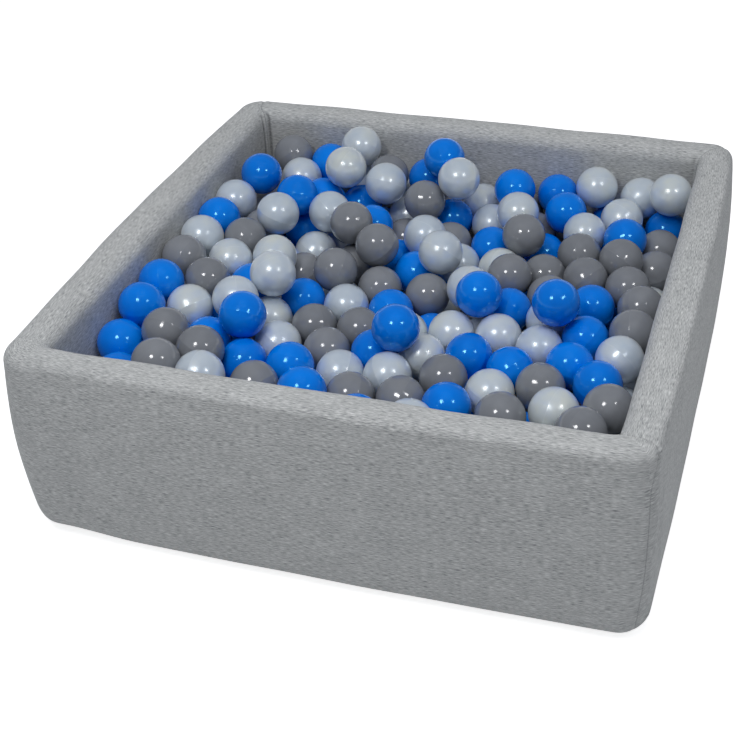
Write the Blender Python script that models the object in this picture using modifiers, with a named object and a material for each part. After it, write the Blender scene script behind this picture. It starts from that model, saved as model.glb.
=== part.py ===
"""Square ball pit: four padded foam walls in a jersey cover, a foam floor mat,
a zip low on the back wall, and a heap of seven centimetre balls.

Metres, +Z up. The origin is the middle of the pit on the floor, and the front
wall faces -Y. The heap is laid out from the places where its balls show from
one viewpoint, and is then pushed apart until no two balls touch.
"""

import math

import bmesh
import bpy
import numpy as np
from mathutils import Matrix, Vector
from mathutils.bvhtree import BVHTree
from mathutils.geometry import delaunay_2d_cdt

# The pit, over its covers
PIT_WIDTH = 0.900
PIT_DEPTH = 0.900
PIT_HEIGHT = 0.306

# A padded wall
WALL_THICKNESS = 0.0586
CORNER_RADIUS = 0.047
INNER_CORNER_RADIUS = 0.005
TOP_ROUNDING = 0.023
BOTTOM_ROUNDING = 0.034
INNER_BOTTOM_ROUNDING = 0.006
SIDE_SWELL = 0.003
COVER_THICKNESS = 0.0015

# Clearances between pieces that touch
SEAT_GAP = 0.0003
MITRE_GAP = 0.0003
CUT_OVERRUN = 0.002

# The floor mat
MAT_THICKNESS = 0.040
MAT_EDGE_ROUNDING = 0.012
MAT_SLIT_END_MARGIN = 0.090
MAT_SLIT_WIDTH = 0.003

# A ball
BALL_DIAMETER = 0.070

# The zip, low on the outside of the back wall
ZIP_HEIGHT = 0.060
ZIP_END_MARGIN = 0.080
TAPE_WIDTH = 0.028
TAPE_THICKNESS = 0.0008
COIL_WIDTH = 0.0052
COIL_HEIGHT = 0.0024
COIL_TOP_SHARE = 0.6

# The zip's slider and its pull tab
SLIDER_LENGTH = 0.0125
SLIDER_PLATE = 0.0012
SLIDER_FLANGE = 0.0014
SLIDER_CLEARANCE = 0.0004
SLIDER_BEVEL = 0.0003
BRIDGE_RADIUS = 0.0037
BRIDGE_WIRE = 0.0015
PULL_AXIS_HEIGHT = 0.0014
PULL_LENGTH = 0.0300
PULL_WIDTH = 0.0080
PULL_THICKNESS = 0.0013
PULL_SLOT_LENGTH = 0.0062
PULL_SLOT_WIDTH = 0.0036

# The viewpoint that the balls' places were read from, and the opening's half width
# and rim height seen from it, in ball diameters
VIEW_PLACE_SHARES = (8.009, -24.309, 18.467)
VIEW_OPENING_SHARE = 5.591
VIEW_RIM_SHARE = 4.371
VIEW_TURN_DEGREES = -17.89
VIEW_DOWN_DEGREES = 33.554
VIEW_ROLL_DEGREES = -1.982
VIEW_FOCAL_PIXELS = 1352.8
VIEW_CENTRE_PIXELS = (417.1, 348.0)

# The mean surface through the top balls' middles: its height in ball diameters, and its slopes
HEAP_SURFACE_SHARE = 3.086
HEAP_SLOPE_SHARES = (-0.055, 0.030)
HEAP_SIZE_TRUST_SHARE = 0.55
HEAP_SIGHT_PULL_SHARE = 0.15
HEAP_DEPTH_PULL_SHARE = 0.0003
HEAP_SIGHT_COUNT = 1500
HEAP_REST_COUNT = 500
HEAP_EXTRA_COUNT = 12000
HEAP_REACH_SHARE = 0.80

# The fused lower heap, which stands for the hidden layers
CORE_SIDE_CLEARANCE = 0.014
CORE_RIM_STEPS = 7
CORE_DROP_SHARE = 0.70
CORE_FREE_GAP = 0.0012
LOWER_GRID_COUNT = 79
LOWER_DROP_SHARE = 0.8
LOWER_SEEN_SHARE = 1.9
CORE_MERGE = 0.00001
SETTLE_GAP = 0.0004
SETTLE_LIFT = 0.004
SETTLE_STEPS = 16

# Facet counts
CORNER_STEPS = 4
ROUNDING_STEPS = 4
SWELL_STEPS = 4
BALL_SPLIT_COUNT = 2
HEAP_BALL_SEGMENT_COUNT = 8
HEAP_BALL_ROW_COUNT = 4
LOWER_BALL_SEGMENT_COUNT = 6
BRIDGE_STEPS = 10
PULL_END_STEPS = 8
BRIDGE_ROUND_STEPS = 2

# Colours
JERSEY_COLOUR = (0.235, 0.245, 0.255, 1.0)
FOAM_COLOUR = (0.75, 0.76, 0.74, 1.0)
BLUE_COLOUR = (0.0, 0.140, 0.640, 1.0)
GREY_COLOUR = (0.205, 0.200, 0.195, 1.0)
PEARL_COLOUR = (0.560, 0.610, 0.650, 1.0)
CORE_COLOUR = (0.050, 0.055, 0.065, 1.0)
TAPE_COLOUR = (0.180, 0.185, 0.190, 1.0)
METAL_COLOUR = (0.300, 0.300, 0.310, 1.0)

# Each ball seen from the viewpoint, read in pixels: colour, across, down, radius
LOOSE_BALLS = (
    ("blue", 444.5, 158.3, 20.0),
    ("pearl", 346.0, 167.0, 21.0),
    ("pearl", 361.5, 146.0, 20.0),
    ("blue", 261.5, 173.3, 21.2),
    ("blue", 556.0, 302.5, 24.0),
    ("pearl", 272.3, 273.5, 22.6),
    ("pearl", 674.5, 195.5, 21.0),
    ("pearl", 386.0, 183.0, 21.0),
    ("blue", 242.5, 315.0, 23.8),
    ("grey", 351.5, 222.5, 21.0),
    ("blue", 395.5, 328.0, 24.3),
    ("grey", 294.0, 154.0, 20.0),
    ("blue", 479.0, 294.0, 23.7),
    ("pearl", 597.0, 187.0, 21.0),
    ("blue", 515.0, 189.0, 20.0),
    ("pearl", 440.5, 252.0, 22.2),
    ("pearl", 518.0, 212.5, 21.0),
    ("pearl", 274.5, 256.3, 21.7),
    ("grey", 523.7, 235.0, 21.7),
    ("pearl", 425.0, 236.0, 21.5),
    ("grey", 335.5, 269.3, 22.3),
    ("blue", 301.7, 390.7, 24.7),
    ("grey", 500.0, 416.5, 26.0),
    ("pearl", 554.0, 412.0, 26.0),
    ("grey", 581.0, 432.0, 26.0),
    ("grey", 156.5, 361.7, 24.4),
)
HEAP_BALLS = (
    ("blue", 219.5, 218.0, 21.3),
    ("pearl", 202.5, 236.5, 22.0),
    ("pearl", 236.0, 200.0, 21.0),
    ("pearl", 302.0, 177.5, 20.0),
    ("blue", 331.0, 163.0, 20.0),
    ("grey", 276.5, 194.5, 20.0),
    ("blue", 297.5, 196.0, 20.5),
    ("blue", 323.0, 198.0, 20.5),
    ("pearl", 277.5, 213.7, 21.0),
    ("pearl", 330.0, 212.0, 21.0),
    ("grey", 256.0, 217.0, 20.5),
    ("grey", 245.5, 238.2, 21.0),
    ("blue", 362.0, 204.7, 20.0),
    ("blue", 306.5, 231.7, 20.5),
    ("grey", 390.0, 175.0, 20.0),
    ("blue", 428.0, 178.0, 19.5),
    ("pearl", 459.0, 178.5, 21.0),
    ("grey", 425.0, 201.0, 21.0),
    ("pearl", 409.0, 216.0, 19.5),
    ("pearl", 411.0, 197.0, 19.5),
    ("blue", 453.0, 219.0, 20.0),
    ("blue", 372.5, 225.5, 21.0),
    ("grey", 377.0, 245.0, 21.7),
    ("grey", 406.0, 238.5, 20.0),
    ("grey", 451.0, 242.5, 20.0),
    ("pearl", 483.0, 203.5, 20.0),
    ("grey", 524.0, 210.0, 20.0),
    ("pearl", 492.5, 224.5, 20.5),
    ("blue", 559.5, 194.5, 20.0),
    ("blue", 566.0, 214.5, 20.5),
    ("grey", 537.0, 231.0, 20.0),
    ("pearl", 583.0, 233.5, 21.0),
    ("blue", 492.0, 247.5, 21.5),
    ("pearl", 642.5, 199.5, 20.5),
    ("pearl", 622.5, 219.5, 21.0),
    ("blue", 664.5, 229.3, 21.3),
    ("blue", 623.5, 240.0, 21.5),
    ("grey", 184.5, 256.8, 22.0),
    ("blue", 162.0, 281.5, 23.0),
    ("grey", 207.3, 279.3, 22.3),
    ("blue", 142.0, 305.0, 23.5),
    ("pearl", 190.5, 307.0, 23.3),
    ("blue", 121.5, 342.3, 24.3),
    ("grey", 165.5, 331.0, 23.6),
    ("blue", 224.0, 326.0, 22.5),
    ("pearl", 231.5, 260.0, 21.8),
    ("pearl", 316.0, 252.0, 21.0),
    ("grey", 304.5, 273.5, 21.5),
    ("blue", 303.5, 300.0, 22.0),
    ("pearl", 346.5, 306.0, 23.0),
    ("grey", 314.5, 326.0, 23.0),
    ("pearl", 236.0, 298.5, 22.5),
    ("pearl", 269.7, 318.3, 22.2),
    ("blue", 252.0, 285.0, 21.5),
    ("grey", 357.0, 264.0, 20.5),
    ("pearl", 458.5, 264.5, 21.0),
    ("pearl", 470.0, 288.0, 22.5),
    ("blue", 416.0, 272.5, 21.0),
    ("blue", 397.0, 260.0, 20.5),
    ("grey", 380.0, 288.0, 22.0),
    ("grey", 427.5, 295.3, 22.6),
    ("blue", 391.0, 311.5, 23.0),
    ("grey", 359.5, 330.0, 23.2),
    ("pearl", 451.5, 333.5, 23.7),
    ("pearl", 500.0, 269.5, 21.5),
    ("grey", 511.0, 277.5, 22.0),
    ("grey", 546.0, 274.0, 21.3),
    ("blue", 543.5, 254.0, 20.5),
    ("grey", 577.5, 255.5, 21.3),
    ("grey", 587.0, 279.0, 22.2),
    ("grey", 550.0, 297.0, 22.5),
    ("blue", 512.0, 310.0, 22.0),
    ("blue", 591.5, 307.5, 22.6),
    ("grey", 660.0, 251.0, 21.3),
    ("grey", 618.5, 261.5, 21.7),
    ("grey", 655.0, 272.0, 22.0),
    ("grey", 625.5, 289.0, 22.6),
    ("grey", 642.0, 309.0, 22.7),
    ("grey", 635.0, 334.0, 23.7),
    ("grey", 200.0, 349.5, 24.0),
    ("pearl", 199.5, 375.0, 25.0),
    ("blue", 243.5, 361.0, 24.3),
    ("pearl", 278.0, 343.5, 23.5),
    ("blue", 290.0, 365.7, 24.4),
    ("grey", 327.0, 350.0, 24.0),
    ("grey", 254.0, 384.7, 24.6),
    ("pearl", 340.0, 373.5, 24.8),
    ("grey", 349.7, 396.0, 24.8),
    ("blue", 374.5, 352.5, 23.4),
    ("pearl", 404.5, 334.0, 22.7),
    ("pearl", 422.0, 357.0, 23.5),
    ("pearl", 387.5, 375.5, 24.5),
    ("grey", 443.5, 378.0, 24.4),
    ("grey", 400.5, 400.0, 25.0),
    ("pearl", 409.0, 424.0, 25.0),
    ("blue", 446.5, 407.0, 25.3),
    ("blue", 470.0, 356.3, 24.5),
    ("blue", 356.0, 419.0, 25.0),
    ("blue", 119.0, 376.0, 24.3),
    ("pearl", 499.5, 336.5, 24.0),
    ("blue", 510.0, 370.5, 24.5),
    ("pearl", 539.0, 349.0, 23.8),
    ("pearl", 549.0, 321.0, 22.8),
    ("blue", 586.5, 338.5, 23.8),
    ("blue", 569.5, 366.0, 24.6),
    ("pearl", 489.5, 393.5, 25.0),
    ("grey", 540.0, 388.0, 25.3),
    ("blue", 527.0, 436.5, 25.5),
    ("blue", 597.5, 385.3, 25.7),
    ("pearl", 619.5, 360.0, 25.0),
    ("grey", 609.0, 409.5, 25.7),
    ("pearl", 634.0, 395.0, 24.0),
)

BALL_RADIUS = BALL_DIAMETER / 2
INNER_HALF_WIDTH = PIT_WIDTH / 2 - WALL_THICKNESS
INNER_HALF_DEPTH = PIT_DEPTH / 2 - WALL_THICKNESS
ZIP_LENGTH = PIT_WIDTH - 2 * ZIP_END_MARGIN
MITRE_ANGLE = math.pi / 4


def clear_scene():
    for item in list(bpy.data.objects):
        bpy.data.objects.remove(item, do_unlink=True)


def new_collection(name):
    collection = bpy.data.collections.new(name)
    bpy.context.scene.collection.children.link(collection)
    return collection


def material(name, colour, roughness, metallic=0.0):
    made = bpy.data.materials.new(name)
    made.use_nodes = True
    shader = made.node_tree.nodes["Principled BSDF"]
    shader.inputs["Base Color"].default_value = colour
    shader.inputs["Roughness"].default_value = roughness
    shader.inputs["Metallic"].default_value = metallic
    made.diffuse_color = colour
    return made


def add_object(name, mesh, collection, look=None):
    made = bpy.data.objects.new(name, mesh)
    collection.objects.link(made)
    if look is not None:
        made.data.materials.append(look)
    return made


def mesh_from(bm, name):
    bmesh.ops.recalc_face_normals(bm, faces=bm.faces)
    mesh = bpy.data.meshes.new(name)
    bm.to_mesh(mesh)
    bm.free()
    return mesh


def smooth(mesh, degrees=40.0):
    mesh.shade_smooth()
    mesh.set_sharp_from_angle(angle=math.radians(degrees))


def hide_as_cutter(item):
    item.hide_render = True
    item.display_type = "WIRE"


def boolean(item, cutter, operation):
    made = item.modifiers.new(operation.title(), "BOOLEAN")
    made.operation = operation
    made.object = cutter
    made.material_mode = "TRANSFER"
    return made


# The walls' section: from the outer face (across 0) to the inner face


def arc(centre, radius, start, end, steps):
    """Points of an arc in a section, from one angle to the other."""
    points = []
    for step in range(steps + 1):
        angle = start + (end - start) * step / steps
        points.append((centre[0] + radius * math.cos(angle), centre[1] + radius * math.sin(angle)))
    return points


def swell(height):
    """How far the outer face stands behind its fullest point at a height."""
    low = BOTTOM_ROUNDING
    high = PIT_HEIGHT - TOP_ROUNDING
    share = (2 * height - low - high) / (high - low)
    return SIDE_SWELL * min(1.0, share * share)


def wall_section(inset, rounding_steps, swell_steps):
    """One closed loop round a wall's section, set in from the cover's outside."""
    outer = SIDE_SWELL + inset
    inner = WALL_THICKNESS - inset
    top = PIT_HEIGHT - inset
    low_radius = BOTTOM_ROUNDING - inset
    top_radius = TOP_ROUNDING - inset
    inner_radius = INNER_BOTTOM_ROUNDING - inset
    points = arc((outer + low_radius, inset + low_radius), low_radius,
                 -math.pi / 2, -math.pi, rounding_steps)
    low = BOTTOM_ROUNDING
    high = PIT_HEIGHT - TOP_ROUNDING
    for step in range(1, swell_steps):
        height = low + (high - low) * step / swell_steps
        points.append((swell(height) + inset, height))
    points += arc((outer + top_radius, top - top_radius), top_radius,
                  math.pi, math.pi / 2, rounding_steps)
    points += arc((inner - top_radius, top - top_radius), top_radius,
                  math.pi / 2, 0, rounding_steps)
    points += arc((inner - inner_radius, inset + inner_radius), inner_radius,
                  0, -math.pi / 2, max(1, rounding_steps // 2))
    return points


def wall_stations(corner_steps):
    """From one mitre along the wall to the other: which end, and the angle turned."""
    left = [(-1, MITRE_ANGLE * (corner_steps - step) / corner_steps) for step in range(corner_steps + 1)]
    right = [(1, MITRE_ANGLE * step / corner_steps) for step in range(corner_steps + 1)]
    return left + right


def wall_point(across, height, end, angle, half_run, half_reach):
    """A point of a wall that runs along X and faces -Y, turning into its corner."""
    share = across / WALL_THICKNESS
    radius = CORNER_RADIUS + (INNER_CORNER_RADIUS - CORNER_RADIUS) * share
    run = half_run - across - radius + radius * math.sin(angle)
    reach = half_reach - across - radius + radius * math.cos(angle)
    if angle == MITRE_ANGLE:
        run -= MITRE_GAP
    return Vector((end * run, -reach, height))


def wall_rings(section, corner_steps, half_run, half_reach):
    return [[wall_point(across, height, end, angle, half_run, half_reach) for across, height in section]
            for end, angle in wall_stations(corner_steps)]


def add_skin(bm, rings):
    """Faces between neighbouring rings. The rings' vertices come back."""
    rows = [[bm.verts.new(point) for point in ring] for ring in rings]
    for one, two in zip(rows, rows[1:]):
        for index in range(len(one)):
            after = (index + 1) % len(one)
            bm.faces.new((one[index], one[after], two[after], two[index]))
    return rows


def wall_cover(name, half_run, half_reach):
    """A sleeve of jersey, open at its two mitred ends."""
    bm = bmesh.new()
    outer = add_skin(bm, wall_rings(wall_section(0, ROUNDING_STEPS, SWELL_STEPS),
                                    CORNER_STEPS, half_run, half_reach))
    inner = add_skin(bm, wall_rings(wall_section(COVER_THICKNESS, ROUNDING_STEPS, SWELL_STEPS),
                                    CORNER_STEPS, half_run, half_reach))
    for one, two in ((outer[0], inner[0]), (outer[-1], inner[-1])):
        for index in range(len(one)):
            after = (index + 1) % len(one)
            bm.faces.new((one[index], one[after], two[after], two[index]))
    mesh = mesh_from(bm, name)
    smooth(mesh)
    return mesh


def wall_foam(name, half_run, half_reach):
    """The foam board inside a sleeve, cut to the same mitres."""
    bm = bmesh.new()
    section = wall_section(COVER_THICKNESS + SEAT_GAP, ROUNDING_STEPS // 2, SWELL_STEPS // 2)
    rows = add_skin(bm, wall_rings(section, CORNER_STEPS // 2, half_run, half_reach))
    bm.faces.new(rows[0])
    bm.faces.new(rows[-1])
    mesh = mesh_from(bm, name)
    smooth(mesh)
    return mesh


def build_walls(collection, jersey, foam):
    sides = (
        ("front", 0, PIT_WIDTH, PIT_DEPTH),
        ("right", 1, PIT_DEPTH, PIT_WIDTH),
        ("back", 2, PIT_WIDTH, PIT_DEPTH),
        ("left", 3, PIT_DEPTH, PIT_WIDTH),
    )
    for side, quarter, run, reach in sides:
        turn = quarter * math.pi / 2
        cover = add_object("cover_" + side, wall_cover("cover_" + side, run / 2, reach / 2),
                           collection, jersey)
        core = add_object("foam_" + side, wall_foam("foam_" + side, run / 2, reach / 2),
                          collection, foam)
        cover.rotation_euler = (0, 0, turn)
        core.rotation_euler = (0, 0, turn)


# The floor mat


def box(name, size, centre, collection, look=None):
    bm = bmesh.new()
    bmesh.ops.create_cube(bm, size=1)
    bmesh.ops.scale(bm, vec=size, verts=bm.verts)
    made = add_object(name, mesh_from(bm, name), collection, look)
    made.location = centre
    return made


def round_edges(item, width, segments):
    made = item.modifiers.new("Rounding", "BEVEL")
    made.width = width
    made.segments = segments
    made.limit_method = "ANGLE"
    return made


def build_mat(collection, cutters, jersey, foam):
    width = 2 * (INNER_HALF_WIDTH - SEAT_GAP)
    depth = 2 * (INNER_HALF_DEPTH - SEAT_GAP)
    middle = MAT_THICKNESS / 2
    shell = 2 * COVER_THICKNESS
    inset = 2 * (COVER_THICKNESS + SEAT_GAP)
    cover = box("mat_cover", (width, depth, MAT_THICKNESS), (0, 0, middle), collection, jersey)
    round_edges(cover, MAT_EDGE_ROUNDING, 3)
    hollow = box("mat_hollow", (width - shell, depth - shell, MAT_THICKNESS - shell), (0, 0, middle), cutters)
    round_edges(hollow, MAT_EDGE_ROUNDING - COVER_THICKNESS, 2)
    hide_as_cutter(hollow)
    boolean(cover, hollow, "DIFFERENCE")
    slit_length = width - 2 * MAT_SLIT_END_MARGIN
    slit_depth = COVER_THICKNESS + 2 * CUT_OVERRUN
    slit = box("mat_slit", (slit_length, slit_depth, MAT_SLIT_WIDTH), (0, depth / 2, middle), cutters)
    hide_as_cutter(slit)
    boolean(cover, slit, "DIFFERENCE")
    core_size = (width - inset, depth - inset, MAT_THICKNESS - inset)
    core = box("mat_foam", core_size, (0, 0, middle), collection, foam)
    round_edges(core, MAT_EDGE_ROUNDING, 2)


# The zip


def extruded(name, outline, length):
    """A closed outline in the YZ plane, drawn out along X about the middle."""
    bm = bmesh.new()
    face = bm.faces.new([bm.verts.new((-length / 2, y, z)) for y, z in outline])
    made = bmesh.ops.extrude_face_region(bm, geom=[face])
    moved = [item for item in made["geom"] if isinstance(item, bmesh.types.BMVert)]
    bmesh.ops.translate(bm, vec=(length, 0, 0), verts=moved)
    return mesh_from(bm, name)


def back_face(height):
    """Y of the back cover's outer face at a height."""
    return PIT_DEPTH / 2 - swell(height)


def coil_half(base):
    return base * COIL_WIDTH / 2


def zip_chain(collection, look):
    """Tape on the back cover, with the closed coil as a rib down its middle."""
    low = ZIP_HEIGHT - TAPE_WIDTH / 2
    high = ZIP_HEIGHT + TAPE_WIDTH / 2
    heights = [low + (high - low) * step / SWELL_STEPS for step in range(SWELL_STEPS + 1)]
    seat = [(back_face(height) + SEAT_GAP, height) for height in heights]
    top = SEAT_GAP + TAPE_THICKNESS
    face = back_face(ZIP_HEIGHT) + top
    crest = face + COIL_HEIGHT
    coil = [
        (face, ZIP_HEIGHT + coil_half(1)),
        (crest - coil_half(1) * (1 - COIL_TOP_SHARE), ZIP_HEIGHT + coil_half(1)),
        (crest, ZIP_HEIGHT + coil_half(COIL_TOP_SHARE)),
        (crest, ZIP_HEIGHT - coil_half(COIL_TOP_SHARE)),
        (crest - coil_half(1) * (1 - COIL_TOP_SHARE), ZIP_HEIGHT - coil_half(1)),
        (face, ZIP_HEIGHT - coil_half(1)),
    ]
    outline = seat + [(back_face(high) + top, high)] + coil + [(back_face(low) + top, low)]
    return add_object("zip_chain", extruded("zip_chain", outline, ZIP_LENGTH), collection, look)


def slider_levels():
    """Y of the tape's face, the slider plate's underside and its top."""
    tape = back_face(ZIP_HEIGHT) + SEAT_GAP + TAPE_THICKNESS
    under = tape + COIL_HEIGHT + SLIDER_CLEARANCE
    return tape, under, under + SLIDER_PLATE


def zip_slider(collection, cutters, look):
    """A slider that straddles the coil, with a round bridge for its pull tab."""
    tape, under, top = slider_levels()
    inner = coil_half(1) + SLIDER_CLEARANCE
    outer = inner + SLIDER_FLANGE
    foot = tape + SLIDER_CLEARANCE - under
    plate = top - under
    outline = [(foot, -outer), (plate, -outer), (plate, outer), (foot, outer),
               (foot, inner), (0, inner), (0, -inner), (foot, -inner)]
    body = add_object("zip_slider", extruded("zip_slider", outline, SLIDER_LENGTH), collection, look)
    body.location = (slider_start(), under, ZIP_HEIGHT)
    round_edges(body, SLIDER_BEVEL, 1)
    axis = plate + PULL_AXIS_HEIGHT
    path = [(BRIDGE_RADIUS, plate / 2)]
    for step in range(BRIDGE_STEPS + 1):
        angle = math.pi * step / BRIDGE_STEPS
        path.append((BRIDGE_RADIUS * math.cos(angle), axis + BRIDGE_RADIUS * math.sin(angle)))
    path.append((-BRIDGE_RADIUS, plate / 2))
    curve = bpy.data.curves.new("zip_bridge", "CURVE")
    curve.dimensions = "3D"
    curve.bevel_depth = BRIDGE_WIRE / 2
    curve.bevel_resolution = BRIDGE_ROUND_STEPS
    curve.use_fill_caps = True
    spline = curve.splines.new("POLY")
    spline.points.add(len(path) - 1)
    for point, (x, y) in zip(spline.points, path):
        point.co = (x, y, 0, 1)
    wire = bpy.data.objects.new("zip_bridge_curve", curve)
    cutters.objects.link(wire)
    wire.location = body.location
    bpy.context.view_layer.update()
    mesh = bpy.data.meshes.new_from_object(wire.evaluated_get(bpy.context.evaluated_depsgraph_get()))
    bm = bmesh.new()
    bm.from_mesh(mesh)
    bmesh.ops.remove_doubles(bm, verts=bm.verts, dist=SLIDER_BEVEL / 10)
    bridge = add_object("zip_bridge", mesh_from(bm, "zip_bridge"), cutters)
    bridge.matrix_world = wire.matrix_world
    bpy.data.objects.remove(wire, do_unlink=True)
    hide_as_cutter(bridge)
    boolean(body, bridge, "UNION")
    return body


def slider_start():
    """X of the slider where the zip is closed."""
    return -(ZIP_LENGTH / 2 - SLIDER_LENGTH)


def zip_pull(collection, cutters, look):
    """A flat tab with a slot, whose end bar turns inside the slider's bridge."""
    half = PULL_WIDTH / 2
    bar = PULL_THICKNESS / 2
    end = PULL_LENGTH - bar - half
    outline = [(-bar, -half)]
    for step in range(PULL_END_STEPS + 1):
        angle = -math.pi / 2 + math.pi * step / PULL_END_STEPS
        outline.append((end + half * math.cos(angle), half * math.sin(angle)))
    outline.append((-bar, half))
    bm = bmesh.new()
    face = bm.faces.new([bm.verts.new((x, -bar, z)) for x, z in outline])
    made = bmesh.ops.extrude_face_region(bm, geom=[face])
    moved = [item for item in made["geom"] if isinstance(item, bmesh.types.BMVert)]
    bmesh.ops.translate(bm, vec=(0, PULL_THICKNESS, 0), verts=moved)
    tab = add_object("zip_pull", mesh_from(bm, "zip_pull"), collection, look)
    top = slider_levels()[2]
    tab.location = (slider_start(), top + PULL_AXIS_HEIGHT, ZIP_HEIGHT)
    slot = box("zip_pull_slot", (PULL_SLOT_LENGTH, PULL_THICKNESS + CUT_OVERRUN, PULL_SLOT_WIDTH),
               tab.location + Vector((bar + PULL_SLOT_LENGTH / 2, 0, 0)), cutters)
    hide_as_cutter(slot)
    boolean(tab, slot, "DIFFERENCE")
    return tab


# The heap


def sight_lines(rows):
    """The viewpoint, the balls' directions from it and their distances, in the pit's frame."""
    turn = math.radians(VIEW_TURN_DEGREES)
    down = math.radians(VIEW_DOWN_DEGREES)
    roll = math.radians(VIEW_ROLL_DEGREES)
    ahead = np.array((math.sin(turn) * math.cos(down), math.cos(turn) * math.cos(down), -math.sin(down)))
    level = np.array((math.cos(turn), -math.sin(turn), 0))
    upright = np.cross(level, ahead)
    right = math.cos(roll) * level + math.sin(roll) * upright
    up = math.cos(roll) * upright - math.sin(roll) * level
    across = (np.array([row[1] for row in rows]) - VIEW_CENTRE_PIXELS[0]) / VIEW_FOCAL_PIXELS
    above = (VIEW_CENTRE_PIXELS[1] - np.array([row[2] for row in rows])) / VIEW_FOCAL_PIXELS
    radius = np.array([row[3] for row in rows]) / VIEW_FOCAL_PIXELS
    lines = across[:, None] * right + above[:, None] * up + ahead
    stretch = np.linalg.norm(lines, axis=1)
    lines = lines / stretch[:, None]
    eye = np.array(VIEW_PLACE_SHARES) * BALL_DIAMETER
    by_size = BALL_RADIUS * stretch / radius
    slope = np.array(HEAP_SLOPE_SHARES)
    drop = HEAP_SURFACE_SHARE * BALL_DIAMETER + eye[:2] @ slope - eye[2]
    by_surface = drop / (lines[:, 2] - lines[:, :2] @ slope)
    reach = HEAP_SIZE_TRUST_SHARE * by_size + (1 - HEAP_SIZE_TRUST_SHARE) * by_surface
    seen = np.array((VIEW_OPENING_SHARE, VIEW_OPENING_SHARE, VIEW_RIM_SHARE)) * BALL_DIAMETER
    fit = np.array((INNER_HALF_WIDTH, INNER_HALF_DEPTH, PIT_HEIGHT)) / seen
    places = (eye + lines * reach[:, None]) * fit
    eye = eye * fit
    lines = places - eye
    reach = np.linalg.norm(lines, axis=1)
    return eye, lines / reach[:, None], reach, places


def push_apart(places):
    """One round of pushing each pair of crowded balls apart, kept inside the walls."""
    spacing = BALL_DIAMETER + SEAT_GAP
    between = places[:, None] - places[None]
    apart = np.linalg.norm(between, axis=2)
    np.fill_diagonal(apart, 2 * spacing)
    crowd = np.clip(spacing - apart, 0, None)
    places = places + (between * (crowd / apart / 2)[..., None]).sum(axis=1)
    limit = np.array((INNER_HALF_WIDTH, INNER_HALF_DEPTH)) - BALL_RADIUS - SEAT_GAP
    places[:, :2] = np.clip(places[:, :2], -limit, limit)
    places[:, 2] = np.maximum(places[:, 2], MAT_THICKNESS + BALL_DIAMETER)
    return places, crowd.max()


def heap_layout(rows):
    """Middles of the balls: near their sight lines, with no two crowded."""
    eye, lines, reach, places = sight_lines(rows)
    for _ in range(HEAP_SIGHT_COUNT):
        along = ((places - eye) * lines).sum(axis=1)
        places = places + HEAP_SIGHT_PULL_SHARE * (eye + lines * along[:, None] - places)
        places = places + HEAP_DEPTH_PULL_SHARE * (reach - along)[:, None] * lines
        places, crowd = push_apart(places)
    rounds = 0
    while rounds < HEAP_REST_COUNT or (crowd > SEAT_GAP / 3 and rounds < HEAP_EXTRA_COUNT):
        places, crowd = push_apart(places)
        rounds += 1
    return places


def ball_mesh(name, look):
    bm = bmesh.new()
    bmesh.ops.create_icosphere(bm, subdivisions=BALL_SPLIT_COUNT, radius=BALL_RADIUS)
    mesh = mesh_from(bm, name)
    smooth(mesh, 180)
    mesh.materials.append(look)
    return mesh


def heap_level(x, y, balls):
    """Mean height of the middles of the balls close by."""
    gaps = (balls[:, 0] - x) ** 2 + (balls[:, 1] - y) ** 2
    weight = np.exp(-(gaps - gaps.min()) / (2 * (HEAP_REACH_SHARE * BALL_RADIUS) ** 2))
    return (weight * balls[:, 2]).sum() / weight.sum()


def lower_layout(upper):
    """Middles of the balls that show in the gaps of the upper ones, each as high as it fits."""
    half = (INNER_HALF_WIDTH - BALL_RADIUS - SEAT_GAP, INNER_HALF_DEPTH - BALL_RADIUS - SEAT_GAP)
    columns, rows = (np.linspace(-size, size, LOWER_GRID_COUNT) for size in half)
    grid = np.array([(x, y) for y in rows for x in columns])
    level = np.array([heap_level(x, y, upper) for x, y in grid])
    depth = np.full(len(grid), LOWER_DROP_SHARE * BALL_RADIUS)
    for ball in upper:
        depth = np.maximum(depth, level - highest_beside(grid, ball))
    lower = []
    while depth.min() < LOWER_SEEN_SHARE * BALL_RADIUS:
        best = int(np.argmin(depth))
        lower.append((grid[best, 0], grid[best, 1], level[best] - depth[best]))
        depth = np.maximum(depth, level - highest_beside(grid, lower[-1]))
    return np.array(lower)


def highest_beside(grid, ball):
    """How high a second ball's middle can be at each place, under one that is already there."""
    apart = np.linalg.norm(grid - ball[:2], axis=1)
    drop = np.sqrt(np.maximum(BALL_DIAMETER ** 2 - apart ** 2, 0))
    return np.where(apart < BALL_DIAMETER, ball[2] - drop, PIT_HEIGHT)


def core_rim():
    """Places round the core's edge, in order, a little inside the walls."""
    half_width = INNER_HALF_WIDTH - CORE_SIDE_CLEARANCE
    half_depth = INNER_HALF_DEPTH - CORE_SIDE_CLEARANCE
    shares = [2 * step / CORE_RIM_STEPS - 1 for step in range(CORE_RIM_STEPS)]
    return ([(share * half_width, -half_depth) for share in shares]
            + [(half_width, share * half_depth) for share in shares]
            + [(-share * half_width, half_depth) for share in shares]
            + [(-half_width, -share * half_depth) for share in shares])


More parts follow.
